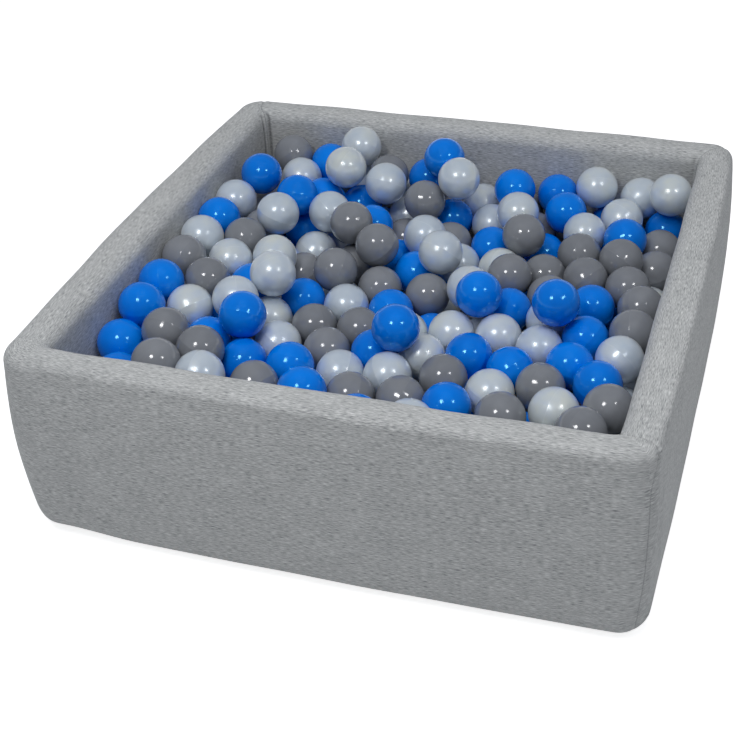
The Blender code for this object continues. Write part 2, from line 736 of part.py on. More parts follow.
def heap_core(collection, look, fixed, loose):
    """The hidden layers as one block on the mat, which holds each fixed ball by its lower part."""
    drop = CORE_DROP_SHARE * BALL_RADIUS
    rim = [(x, y, heap_level(x, y, fixed) - drop) for x, y in core_rim()]
    held = [(x, y, z - drop) for x, y, z in fixed]
    under = [(x, y, z - BALL_RADIUS - CORE_FREE_GAP) for x, y, z in loose]
    points = rim + held + under
    edges = [(index, (index + 1) % len(rim)) for index in range(len(rim))]
    plan = [Vector((x, y)) for x, y, _ in points]
    faces = delaunay_2d_cdt(plan, edges, [], 0, CORE_MERGE)[2]
    bm = bmesh.new()
    verts = [bm.verts.new(point) for point in points]
    for face in faces:
        bm.faces.new([verts[index] for index in face])
    border = [edge for edge in bm.edges if edge.is_boundary]
    made = bmesh.ops.extrude_edge_only(bm, edges=border)
    for vert in made["geom"]:
        if isinstance(vert, bmesh.types.BMVert):
            vert.co.z = MAT_THICKNESS + SEAT_GAP
    floor = [item for item in made["geom"] if isinstance(item, bmesh.types.BMEdge)]
    bmesh.ops.edgeloop_fill(bm, edges=floor)
    return add_object("ball_heap", mesh_from(bm, "ball_heap"), collection, look)


def heap_ball_cutter(cutters, colours, places, segments, looks):
    """All the balls that stand in the core, as one mesh to join to it."""
    bm = bmesh.new()
    order = ("blue", "grey", "pearl")
    for colour, place in zip(colours, places):
        made = bmesh.ops.create_uvsphere(bm, u_segments=segments,
                                         v_segments=HEAP_BALL_ROW_COUNT, radius=BALL_RADIUS,
                                         matrix=Matrix.Translation(place))
        for vert in made["verts"]:
            for face in vert.link_faces:
                face.material_index = order.index(colour)
    item = add_object("heap_balls", mesh_from(bm, "heap_balls"), cutters)
    for colour in order:
        item.data.materials.append(looks[colour])
    hide_as_cutter(item)
    return item


def ball_tree(mesh, place):
    points = [vert.co + place for vert in mesh.vertices]
    return BVHTree.FromPolygons(points, [tuple(face.vertices) for face in mesh.polygons])


def touches(mesh, place, trees):
    tree = ball_tree(mesh, place)
    return any(tree.overlap(other) for other in trees)


def settle(mesh, place, trees):
    """Lift a ball clear of what it touches, then lower it until it almost rests."""
    high = place.copy()
    while touches(mesh, high, trees):
        high.z += SETTLE_LIFT
    free = 0
    touching = BALL_RADIUS
    for _ in range(SETTLE_STEPS):
        drop = (free + touching) / 2
        if touches(mesh, high - Vector((0, 0, drop)), trees):
            touching = drop
        else:
            free = drop
    high.z -= free - SETTLE_GAP
    return high


def build_balls(collection, cutters, looks):
    rows = LOOSE_BALLS + HEAP_BALLS
    places = heap_layout(rows)
    loose = places[:len(LOOSE_BALLS)]
    fixed = places[len(LOOSE_BALLS):]
    lower = lower_layout(places)
    heap = heap_core(collection, looks["core"], np.concatenate((fixed, lower)), loose)
    colours = [row[0] for row in HEAP_BALLS]
    boolean(heap, heap_ball_cutter(cutters, colours, fixed, HEAP_BALL_SEGMENT_COUNT, looks), "UNION")
    colours = ["blue", "grey", "pearl"] * len(lower)
    boolean(heap, heap_ball_cutter(cutters, colours, lower, LOWER_BALL_SEGMENT_COUNT, looks), "UNION")
    bpy.context.view_layer.update()
    graph = bpy.context.evaluated_depsgraph_get()
    trees = [BVHTree.FromObject(heap, graph)]
    meshes = {colour: ball_mesh("ball_" + colour, looks[colour]) for colour in ("blue", "grey", "pearl")}
    names = ["ball_%02d_%s" % (index + 1, row[0]) for index, row in enumerate(LOOSE_BALLS)]
    for index in np.argsort(loose[:, 2], kind="stable"):
        mesh = meshes[LOOSE_BALLS[index][0]]
        place = settle(mesh, Vector(loose[index]), trees)
        trees.append(ball_tree(mesh, place))
        ball = bpy.data.objects.new(names[index], mesh)
        ball.location = place
        collection.objects.link(ball)


def main():
    clear_scene()
    parts = new_collection("ball_pit")
    cutters = new_collection("ball_pit_cutters")
    jersey = material("jersey", JERSEY_COLOUR, 0.9)
    foam = material("foam", FOAM_COLOUR, 0.95)
    tape = material("zip_tape", TAPE_COLOUR, 0.8)
    metal = material("zip_metal", METAL_COLOUR, 0.4, 0.8)
    looks = {
        "blue": material("ball_blue", BLUE_COLOUR, 0.25),
        "grey": material("ball_grey", GREY_COLOUR, 0.25),
        "pearl": material("ball_pearl", PEARL_COLOUR, 0.3),
        "core": material("heap_core", CORE_COLOUR, 0.8),
    }
    build_walls(parts, jersey, foam)
    build_mat(parts, cutters, jersey, foam)
    zip_chain(parts, tape)
    zip_slider(parts, cutters, metal)
    zip_pull(parts, cutters, metal)
    build_balls(parts, cutters, looks)


main()
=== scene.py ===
"""A square foam ball pit in grey melange jersey, filled with plastic balls."""

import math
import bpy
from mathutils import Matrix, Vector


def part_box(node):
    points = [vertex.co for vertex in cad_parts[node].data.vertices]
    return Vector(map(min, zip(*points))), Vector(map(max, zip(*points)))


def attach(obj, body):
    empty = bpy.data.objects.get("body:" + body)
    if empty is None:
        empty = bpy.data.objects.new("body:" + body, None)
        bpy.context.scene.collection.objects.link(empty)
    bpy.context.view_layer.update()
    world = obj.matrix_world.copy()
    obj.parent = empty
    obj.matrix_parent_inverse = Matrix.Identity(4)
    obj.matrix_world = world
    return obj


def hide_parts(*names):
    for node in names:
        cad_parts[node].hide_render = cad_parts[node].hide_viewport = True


bl_info = {
    "name": "Foam ball pit",
    "version": (1, 0, 0),
    "blender": (4, 5, 0),
    "location": "3D View > Sidebar > Ball pit",
    "description": "Dresses the packed ball pit: jersey covers, floor mat, zip and balls",
    "category": "Object",
}

from functools import partial

import bmesh
import bpy
import numpy as np
from mathutils import Euler, Matrix, Vector
from mathutils.kdtree import KDTree

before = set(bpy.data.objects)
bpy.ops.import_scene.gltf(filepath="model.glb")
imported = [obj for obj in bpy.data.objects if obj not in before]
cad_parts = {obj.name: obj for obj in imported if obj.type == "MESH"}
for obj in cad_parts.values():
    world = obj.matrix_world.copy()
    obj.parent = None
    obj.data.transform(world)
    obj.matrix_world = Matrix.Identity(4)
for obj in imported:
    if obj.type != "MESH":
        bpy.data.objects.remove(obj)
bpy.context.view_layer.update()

SIDES = ("front", "right", "back", "left")
COLOURS = ("blue", "grey", "pearl")
QUARTER = math.pi / 2
MITRE = math.pi / 4
MM = 0.001

# The covers' own sizes, read from the frame
COVER_HIGH = [max(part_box("cover_" + side)[1][axis] for side in SIDES) for axis in range(3)]
MAT_LOW, MAT_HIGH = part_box("mat_cover")
CHAIN_LOW, CHAIN_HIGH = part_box("zip_chain")
BALL_LOW, BALL_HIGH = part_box("ball_01_blue")
SEAT_GAP = 0.3 * MM

# A wall is known by its quarter turn from the front one, and a corner by the two walls that meet
# there, each with its end: 1 is the right one, seen from outside
BACK = 2
FRONT_RIGHT = ((0, 1), (1, -1))
BACK_RIGHT = ((1, 1), (2, -1))
FRONT_LEFT = ((0, -1), (3, 1))

# The seam at each corner, right or left and back or front, with its pucker in millimetres. It runs from
# inside to outside: shares of a wall's thickness in from the side face and from the back or front
# face, millimetres below the rim, and how dark the painted shade in its groove shows
CORNER_SEAMS = (
    (1, -1, 0.8, (
        (0.96, 0.96, 150, 0.2), (0.96, 0.96, 20, 0.2), (0.87, 0.9, 2, 0.2), (0.57, 0.83, 0, 0.2),
        (0.28, 0.73, 3, 0.22), (0.12, 0.6, 14, 0.22), (0.06, 0.37, 31, 0.22), (0.1, 0.17, 50, 0.26),
        (0.13, 0.13, 75, 0.3), (0.13, 0.13, 250, 0.3), (0.3, 0.3, 304, 0.3))),
    (1, 1, 0.4, (
        (0.96, 0.96, 150, 0.3), (0.96, 0.96, 20, 0.3), (0.8, 0.8, 0, 0.3), (0.62, 0.62, 0, 0.22),
        (0.45, 0.45, 0, 0.06), (0.23, 0.23, 25, 0.1), (0.23, 0.23, 250, 0.2), (0.4, 0.4, 304, 0.2))),
    (-1, 1, 0.3, (
        (0.96, 0.96, 150, 0.35), (0.96, 0.96, 20, 0.35), (0.85, 0.82, 2, 0.35), (0.73, 0.27, 3, 0.32),
        (0.66, 0.05, 20, 0.3), (0.45, 0.02, 40, 0.25), (0.23, 0.23, 80, 0.2), (0.23, 0.23, 250, 0.2),
        (0.4, 0.4, 304, 0.2))),
)

# How far the balls push the middle of each wall out, in millimetres: front, right, back, left
WALL_BOWS = (6, 3, 3, 12)
# How far the walls belly out halfway up, in millimetres, from the front left corner round to the back left
CORNER_BELLIES = (6, 0, 0, 3)
# Radius of each wall's top outer edge in its run, and at its corners in the same order, in millimetres
WALL_TOPS = (12, 8, 23, 20)
CORNER_TOPS = (21, 15, 21, 23)
# The folds in each inner corner, right or left and back or front, with their depth in millimetres, which also
# sets the shade painted in them
INNER_FOLDS = ((-1, 1, 3.5), (1, 1, 0.8), (-1, -1, 0.5), (1, -1, 0.5))

# Steps round an edge of a wall's outline, and up a side of it
EDGE_STEPS = 9
SIDE_STEPS = 19
# How far along the wall a corner's own foot, its own top edge and the fuller swell beside the zip reach
FOOT_REACH = 130 * MM
EDGE_REACH = 60 * MM
SWELL_REACH = 30 * MM

# Places along the middle of half a wall, steps round half a corner, and cuts across the mat
MIDDLE_PLACES = 23
CORNER_STEPS = 7
MAT_CUTS = 23

# How the jersey is blown up over its foam
CLOTH_FRAMES = 20
CLOTH_SETTINGS = {
    "quality": 4, "mass": 0.2, "tension_stiffness": 12, "compression_stiffness": 12, "shear_stiffness": 4,
    "bending_stiffness": 0.4, "use_pressure": True, "uniform_pressure_force": 1.6,
}

# The zip's tape, and the pace of its coil and of the stitches beside it
TAPE_THICKNESS = 0.8 * MM
COIL_PITCH = 1.5 * MM
STITCH_PACE = 4 * MM
COPIES = "Copies of a template"

# Each soft light: its name, the way to it, its distance and width in metres, and its level
LIGHTS = (
    ("key_left", (-0.14, -0.62, 0.772), 2.2, 0.5, 0.21),
    ("key_right", (0.635, -0.341, 0.693), 2.2, 0.34, 0.085),
    ("overhead", (0, -0.1, 1), 3, 2.6, 0.51),
)
FLOOR_REACH = 9

# The viewpoint: its place in ball diameters, how far it is turned, looks down and is rolled, and the
# picture's middle in pixels. The opening's half width and the rim's height are in ball diameters too
VIEW_PLACE_SHARES = (8.009, -24.309, 18.467)
VIEW_TURNS_DEGREES = (-17.89, 33.554, -1.982)
VIEW_FOCAL_PIXELS = 1352.8
VIEW_CENTRE_PIXELS = (417.1, 348.0)
PICTURE_PIXELS = 750
SENSOR_MM = 36.0
VIEW_OPENING_SHARE = 5.591
VIEW_RIM_SHARE = 4.371

# How the heap settles round the places that the balls were seen at
HEAP_SURFACE_SHARE = 3.086
HEAP_SLOPE_SHARES = (-0.055, 0.030)
HEAP_SIZE_TRUST = 0.55
HEAP_SIGHT_PULL = 0.15
HEAP_DEPTH_PULL = 0.0003
HEAP_SIGHT_ROUNDS = 1500
HEAP_REST_ROUNDS = 500
HEAP_EXTRA_ROUNDS = 12000
HEAP_REACH_SHARE = 0.80
LOWER_GRID = 79
LOWER_DROP_SHARE = 0.8
LOWER_SEEN_SHARE = 1.9
SPIN_SEED = 5

# Steps round a ball, and from its mould line to a pole
HEAP_BALL_STEPS = (32, 8)
LOWER_BALL_STEPS = (14, 4)
LOOSE_BALL_STEPS = (48, 12)

# Each ball seen from the viewpoint, in pixels: colour, across, down, radius
B, G, P = COLOURS
LOOSE_BALLS = (
    (B, 444.5, 158.3, 20), (P, 346, 167, 21), (P, 361.5, 146, 20), (B, 261.5, 173.3, 21.2),
    (B, 556, 302.5, 24), (P, 272.3, 273.5, 22.6), (P, 674.5, 195.5, 21), (P, 386, 183, 21),
    (B, 242.5, 315, 23.8), (G, 351.5, 222.5, 21), (B, 395.5, 328, 24.3), (G, 294, 154, 20),
    (B, 479, 294, 23.7), (P, 597, 187, 21), (B, 515, 189, 20), (P, 440.5, 252, 22.2),
    (P, 518, 212.5, 21), (P, 274.5, 256.3, 21.7), (G, 523.7, 235, 21.7), (P, 425, 236, 21.5),
    (G, 335.5, 269.3, 22.3), (B, 301.7, 390.7, 24.7), (G, 500, 416.5, 26), (P, 554, 412, 26),
    (G, 581, 432, 26), (G, 156.5, 361.7, 24.4),
)
HEAP_BALLS = (
    (B, 219.5, 218, 21.3), (P, 202.5, 236.5, 22), (P, 236, 200, 21), (P, 302, 177.5, 20),
    (B, 331, 163, 20), (G, 276.5, 194.5, 20), (B, 297.5, 196, 20.5), (B, 323, 198, 20.5),
    (P, 277.5, 213.7, 21), (P, 330, 212, 21), (G, 256, 217, 20.5), (G, 245.5, 238.2, 21),
    (B, 362, 204.7, 20), (B, 306.5, 231.7, 20.5), (G, 390, 175, 20), (B, 428, 178, 19.5),
    (P, 459, 178.5, 21), (G, 425, 201, 21), (P, 409, 216, 19.5), (P, 411, 197, 19.5), (B, 453, 219, 20),
    (B, 372.5, 225.5, 21), (G, 377, 245, 21.7), (G, 406, 238.5, 20), (G, 451, 242.5, 20),
    (P, 483, 203.5, 20), (G, 524, 210, 20), (P, 492.5, 224.5, 20.5), (B, 559.5, 194.5, 20),
    (B, 566, 214.5, 20.5), (G, 537, 231, 20), (P, 583, 233.5, 21), (B, 492, 247.5, 21.5),
    (P, 642.5, 199.5, 20.5), (P, 622.5, 219.5, 21), (B, 664.5, 229.3, 21.3), (B, 623.5, 240, 21.5),
    (G, 184.5, 256.8, 22), (B, 162, 281.5, 23), (G, 207.3, 279.3, 22.3), (B, 142, 305, 23.5),
    (P, 190.5, 307, 23.3), (B, 121.5, 342.3, 24.3), (G, 165.5, 331, 23.6), (B, 224, 326, 22.5),
    (P, 231.5, 260, 21.8), (P, 316, 252, 21), (G, 304.5, 273.5, 21.5), (B, 303.5, 300, 22),
    (P, 346.5, 306, 23), (G, 314.5, 326, 23), (P, 236, 298.5, 22.5), (P, 269.7, 318.3, 22.2),
    (B, 252, 285, 21.5), (G, 357, 264, 20.5), (P, 458.5, 264.5, 21), (P, 470, 288, 22.5),
    (B, 416, 272.5, 21), (B, 397, 260, 20.5), (G, 380, 288, 22), (G, 427.5, 295.3, 22.6),
    (B, 391, 311.5, 23), (G, 359.5, 330, 23.2), (P, 451.5, 333.5, 23.7), (P, 500, 269.5, 21.5),
    (G, 511, 277.5, 22), (G, 546, 274, 21.3), (B, 543.5, 254, 20.5), (G, 577.5, 255.5, 21.3),
    (G, 587, 279, 22.2), (G, 550, 297, 22.5), (B, 512, 310, 22), (B, 591.5, 307.5, 22.6),
    (G, 660, 251, 21.3), (G, 618.5, 261.5, 21.7), (G, 655, 272, 22), (G, 625.5, 289, 22.6),
    (G, 642, 309, 22.7), (G, 635, 334, 23.7), (G, 200, 349.5, 24), (P, 199.5, 375, 25),
    (B, 243.5, 361, 24.3), (P, 278, 343.5, 23.5), (B, 290, 365.7, 24.4), (G, 327, 350, 24),
    (G, 254, 384.7, 24.6), (P, 340, 373.5, 24.8), (G, 349.7, 396, 24.8), (B, 374.5, 352.5, 23.4),
    (P, 404.5, 334, 22.7), (P, 422, 357, 23.5), (P, 387.5, 375.5, 24.5), (G, 443.5, 378, 24.4),
    (G, 400.5, 400, 25), (P, 409, 424, 25), (B, 446.5, 407, 25.3), (B, 470, 356.3, 24.5),
    (B, 356, 419, 25), (B, 119, 376, 24.3), (P, 499.5, 336.5, 24), (B, 510, 370.5, 24.5),
    (P, 539, 349, 23.8), (P, 549, 321, 22.8), (B, 586.5, 338.5, 23.8), (B, 569.5, 366, 24.6),
    (P, 489.5, 393.5, 25), (G, 540, 388, 25.3), (B, 527, 436.5, 25.5), (B, 597.5, 385.3, 25.7),
    (P, 619.5, 360, 25), (G, 609, 409.5, 25.7), (P, 634, 395, 24),
)


def srgb(code):
    """An sRGB hex colour as linear RGBA."""
    parts = [int(code[index:index + 2], 16) / 255 for index in (1, 3, 5)]
    linear = [part / 12.92 if part <= 0.04045 else ((part + 0.055) / 1.055) ** 2.4 for part in parts]
    return (*linear, 1.0)


# Settings that a user would change


def length(name, description, default):
    return bpy.props.FloatProperty(name=name, description=description, default=default,
                                   unit="LENGTH", precision=4, min=0)


def colour(name, description, code):
    return bpy.props.FloatVectorProperty(name=name, description=description, default=srgb(code),
                                         subtype="COLOR", size=4, min=0, max=1)


class PitSizes(bpy.types.PropertyGroup):
    """Sizes of the pit's covers, mat and balls."""

    width: length("Width", "Outside width over the covers", 2 * COVER_HIGH[0])
    depth: length("Depth", "Outside depth over the covers", 2 * COVER_HIGH[1])
    height: length("Height", "Height of the rim", COVER_HIGH[2])
    wall: length("Wall", "Thickness of a padded wall", COVER_HIGH[0] - MAT_HIGH[0] - SEAT_GAP)
    corner: length("Corner", "Radius of the outer corners in plan", 47 * MM)
    inner_corner: length("Inner corner", "Radius of the inner corners in plan", 9 * MM)
    top_rounding: length("Top rounding", "Radius of the top inner edge", 23 * MM)
    bottom_rounding: length("Bottom rounding", "Radius of the bottom outer edge", 34 * MM)
    foot_rounding: length("Foot rounding", "Radius of the bottom inner edge", 6 * MM)
    back_corner: length("Back corner", "Radius of the back right corner in plan", 40 * MM)
    tight_corner: length("Tight corner", "Radius of the sewn front right corner in plan", 26 * MM)
    corner_foot: length("Corner foot", "Radius of the bottom outer edge at the soft corners", 44 * MM)
    swell: length("Swell", "How far the outer faces bow out", 4 * MM)
    zip_swell: length("Zip side swell", "How far the outer face with the zip bows out", 3 * MM)
    rim_rise: length("Rim rise", "How much higher the stuffed rim stands at the back", 4 * MM)
    slack: length("Slack", "How far the jersey can stand off the foam", 2.5 * MM)
    seam_depth: length("Seam depth", "How far a seam draws the jersey in", 1.6 * MM)
    ball: length("Ball", "Diameter of a ball", BALL_HIGH[1] - BALL_LOW[1])
    ridge: length("Mould line", "Height of the line where a ball's halves meet", 0.12 * MM)
    vent: length("Vent", "How far the filled vent at a loose ball's pole is sunk", 0.5 * MM)


class PitColours(bpy.types.PropertyGroup):
    """Colours of the pit's cloth, zip and balls."""

    jersey: colour("Jersey", "Mean grey of the melange jersey", "#B7B8B8")
    jersey_dark: colour("Dark yarn", "Darker yarn of the melange", "#828486")
    jersey_light: colour("Light yarn", "Lighter yarn of the melange", "#D9DAD9")
    blue: colour("Blue balls", "Blue polyethylene", "#0079E6")
    grey: colour("Grey balls", "Grey polyethylene", "#7E8187")
    pearl: colour("Pearl balls", "Pearl pigmented polyethylene", "#D3DCE5")
    tape: colour("Zip tape", "Woven polyester tape", "#8E9193")
    metal: colour("Slider", "Lacquered zinc slider", "#9A9B9D")
    floor: colour("Floor", "Pale studio floor", "#D8D8D8")


# Helpers


def add_node(tree, kind, inputs=None, stops=(), **settings):
    """A new node with its settings. An input is a node or a socket to link, or a value to keep,
    and a stop of a colour ramp is a place and a colour."""
    made = tree.nodes.new(kind)
    for name, value in settings.items():
        setattr(made, name, value)
    for name, value in (inputs or {}).items():
        if isinstance(value, bpy.types.Node):
            value = value.outputs[0]
        if isinstance(value, bpy.types.NodeSocket):
            tree.links.new(value, made.inputs[name])
        else:
            made.inputs[name].default_value = value
    for index, (place, shade) in enumerate(stops):
        elements = made.color_ramp.elements
        stop = elements[index] if index < len(elements) else elements.new(place)
        stop.position = place
        stop.color = shade
    return made


def new_material(name):
    """An empty material, and the function that adds a node to it."""
    made = bpy.data.materials.new(name)
    made.use_nodes = True
    made.node_tree.nodes.clear()
    return made, partial(add_node, made.node_tree)


def mesh_object(name, mesh, *materials):
    made = bpy.data.objects.new(name, mesh)
    bpy.context.scene.collection.objects.link(made)
    for material in materials:
        made.data.materials.append(material)
    return made


def mesh_from(bm, name):
    mesh = bpy.data.meshes.new(name)
    bm.to_mesh(mesh)
    bm.free()
    return mesh


def settle(item):
    """Put the object's mesh with its modifiers applied in place of its own."""
    bpy.context.view_layer.update()
    graph = bpy.context.evaluated_depsgraph_get()
    mesh = bpy.data.meshes.new_from_object(item.evaluated_get(graph), preserve_all_data_layers=True,
                                           depsgraph=graph)
    mesh.name = item.name
    item.modifiers.clear()
    item.data = mesh


def refine(item):
    """Round the object's mesh off by one subdivision."""
    finer = item.modifiers.new("Finer", "SUBSURF")
    finer.levels = 1
    finer.render_levels = 1
    settle(item)


def shade_smooth(mesh):
    mesh.polygons.foreach_set("use_smooth", np.ones(len(mesh.polygons), bool))


def points_of(mesh):
    return np.array([vert.co for vert in mesh.vertices])


def set_points(mesh, points):
    mesh.vertices.foreach_set("co", np.asarray(points, np.float32).ravel())
    mesh.update()


def keep_attribute(mesh, name, values):
    """A number or a vector for each vertex, which a material can read."""
    values = np.asarray(values, np.float32)
    kind = "FLOAT" if values.ndim == 1 else "FLOAT_VECTOR"
    attribute = mesh.attributes.new(name, kind, "POINT")
    attribute.data.foreach_set("value" if values.ndim == 1 else "vector", values.ravel())


def fade(values, near, far):
    """One up to near, nothing past far, smooth between."""
    share = np.clip((far - values) / (far - near), 0, 1)
    return share * share * (3 - 2 * share)


# Cloth


def jersey_material(colours):
    """Melange cotton jersey, circular knit: dark and light yarns show as short streaks along
    the knitted rows, with a soft, dry surface. The streaks are read in the piece's own UV
    map, which is in metres, along the wall and round it."""
    made, node = new_material("Melange cotton jersey")
    uv = node("ShaderNodeTexCoord").outputs["UV"]

    def streaks(length, width, detail):
        place = node("ShaderNodeMapping", {"Vector": uv, "Scale": (1 / length, 1 / width, 1)})
        return node("ShaderNodeTexNoise", {"Vector": place, "Scale": 1.0, "Detail": detail,
                                           "Roughness": 0.55})

    # A yarn is 0.3 mm thick, drawn at 0.8 mm so that it shows
    yarns = streaks(length=9 * MM, width=0.8 * MM, detail=2.0)
    clusters = streaks(length=34 * MM, width=1.6 * MM, detail=2.0)
    blotches = streaks(length=60 * MM, width=30 * MM, detail=1.0)
    mixed = node("ShaderNodeMix", {"Factor": 0.27, "A": yarns, "B": clusters})
    toned = node("ShaderNodeMix", {"Factor": 0.06, "A": mixed, "B": blotches})
    tones = (0.365, colours.jersey_dark), (0.5, colours.jersey), (0.635, colours.jersey_light)
    ramp = node("ShaderNodeValToRGB", {"Fac": toned}, stops=tones)
    # A thin dark line of painted shade runs along a seam, where the cloth is drawn in
    gap = node("ShaderNodeAttribute", attribute_name="seam_gap").outputs["Fac"]
    away = node("ShaderNodeMath", {0: gap}, operation="ABSOLUTE")
    line = node("ShaderNodeMapRange", {"Value": away, "From Min": 0.2 * MM, "From Max": 1.6 * MM,
                                       "To Min": 1.0, "To Max": 0.0}, interpolation_type="SMOOTHSTEP")
    strength = node("ShaderNodeAttribute", attribute_name="seam_line").outputs["Fac"]
    seam_shadow = node("ShaderNodeMath", {0: line, 1: strength}, operation="MULTIPLY")
    # Light doesn't reach into a fold
    fold = node("ShaderNodeAttribute", attribute_name="fold_shade").outputs["Fac"]
    shade = node("ShaderNodeMath", {0: seam_shadow, 1: fold}, operation="MAXIMUM")
    shaded = node("ShaderNodeMix", {"Factor": shade, "A": ramp, "B": srgb("#3E4246")}, data_type="RGBA")
    bump = node("ShaderNodeBump", {"Height": yarns, "Strength": 0.35, "Distance": 0.35 * MM})
    shader = node("ShaderNodeBsdfPrincipled", {"Base Color": shaded.outputs[2], "Roughness": 0.92,
                                               "Normal": bump, "Sheen Weight": 0.18,
                                               "Sheen Roughness": 0.45, "Specular IOR Level": 0.25})
    node("ShaderNodeOutputMaterial", {"Surface": shader})
    return made


def arc(across, height, radius, start, end, steps):
    """Points round an arc in a wall's outline."""
    turns = np.linspace(start, end, steps + 1)
    return [(across + radius * math.cos(turn), height + radius * math.sin(turn)) for turn in turns]


def wall_section(sizes, low, edge, swell):
    """A wall's outline: depth from the outer face, and height. It starts under the outer foot."""
    high = sizes.height - edge
    points = arc(swell + low, low, low, -QUARTER, -2 * QUARTER, EDGE_STEPS)
    for height in np.linspace(low, high, SIDE_STEPS)[1:-1]:
        share = (2 * height - low - high) / (high - low)
        points.append((swell * share * share, height))
    points += arc(swell + edge, high, edge, 2 * QUARTER, QUARTER, EDGE_STEPS)
    top = sizes.top_rounding
    high = sizes.height - top
    points += arc(sizes.wall - top, high, top, QUARTER, 0, EDGE_STEPS)
    foot = sizes.foot_rounding
    points += [(sizes.wall, height) for height in np.linspace(high, foot, SIDE_STEPS)[1:-1]]
    points += arc(sizes.wall - foot, foot, foot, 0, -QUARTER, 3)
    points.append(((sizes.wall + swell + low - foot) / 2, 0))
    return points


def section_at(sizes, quarter, end, away):
    """A wall's outline at a distance from its corner: rounder in the foot at a corner that isn't tight."""
    low = sizes.bottom_rounding
    if (quarter, end) not in FRONT_RIGHT:
        low += (sizes.corner_foot - low) * float(fade(away, 0, FOOT_REACH))
    near = float(fade(away, 0, EDGE_REACH))
    edge = WALL_TOPS[quarter] + (CORNER_TOPS[(quarter + (end > 0)) % 4] - WALL_TOPS[quarter]) * near
    swell = sizes.swell
    if quarter == BACK:
        swell = sizes.zip_swell + (swell - sizes.zip_swell) * float(fade(away, 0, SWELL_REACH))
    return wall_section(sizes, low, edge * MM, swell)


def wall_stations():
    """Along a wall: which end, a share of the straight run, and the angle turned at a corner.
    They stand closest near the corners, where the cloth puckers."""
    half = np.concatenate((np.arange(0, 0.05, 0.006), np.arange(0.05, 0.13, 0.0125),
                           np.linspace(0.13, 1.0, MIDDLE_PLACES)))
    left = [(-1, share - 1, 0) for share in half]
    right = [(1, 1 - share, 0) for share in half[::-1][1:]]
    turns = np.linspace(0, MITRE, CORNER_STEPS + 1)[1:]
    return [(-1, -1, turn) for turn in turns[::-1]] + left + right + [(1, 1, turn) for turn in turns]


def wall_point(sizes, corner, across, height, station, half_run, half_reach, quarter):
    """A point of a wall that faces -Y, pushed out where the wall bows and bellies."""
    end, share, turn = station
    radius = corner + (sizes.inner_corner - corner) * across / sizes.wall
    straight = half_run - across - radius
    run = share * straight + end * radius * math.sin(turn)
    reach = half_reach - across - radius * (1 - math.cos(turn))
    bow = WALL_BOWS[quarter] * (1 - share * share)
    belly = ((1 - share) * CORNER_BELLIES[quarter] + (1 + share) * CORNER_BELLIES[(quarter + 1) % 4]) / 2
    belly *= math.sin(math.pi * height / sizes.height)
    if quarter == BACK:
        # The wall stays straight where the zip lies
        kept = 1 - float(fade(height, CHAIN_HIGH[2] + 10 * MM, CHAIN_HIGH[2] + 80 * MM)
                         * fade(abs(share), 2 * CHAIN_HIGH[0] / sizes.width + 0.1, 1))
        bow *= kept
        belly *= kept
    reach += (bow + belly) * MM * (1 - across / sizes.wall)
    return (run, -reach, height)


def turned(point, quarter):
    """A point turned by quarters round the pit's middle."""
    x, y, z = point
    return ((x, y, z), (-y, x, z), (-x, -y, z), (y, -x, z))[quarter]


def corner_radius(sizes, quarter, end, height):
    """Radius of a corner's outside: tight where it is sewn at the front right, and softer towards the
    foot and the rim."""
    if (quarter, end) in BACK_RIGHT:
        return sizes.back_corner
    if (quarter, end) not in FRONT_RIGHT:
        return sizes.corner
    soft = max(0.6 * fade(height, 0, sizes.height / 2), 0.75 * fade(sizes.height - height, 0, 90 * MM))
    return sizes.tight_corner + (sizes.corner - sizes.tight_corner) * float(soft)


def outline_runs(section):
    """Distance round a wall's outline at each place of it, from halfway up its outer face."""
    ends = section[1:] + section[:1]
    runs = np.concatenate(([0], np.cumsum([math.dist(one, two) for one, two in zip(section, ends)])))
    heights = np.array(section)[:len(section) // 3, 1]
    return runs - runs[np.argmin(np.abs(heights - max(heights) / 2))]


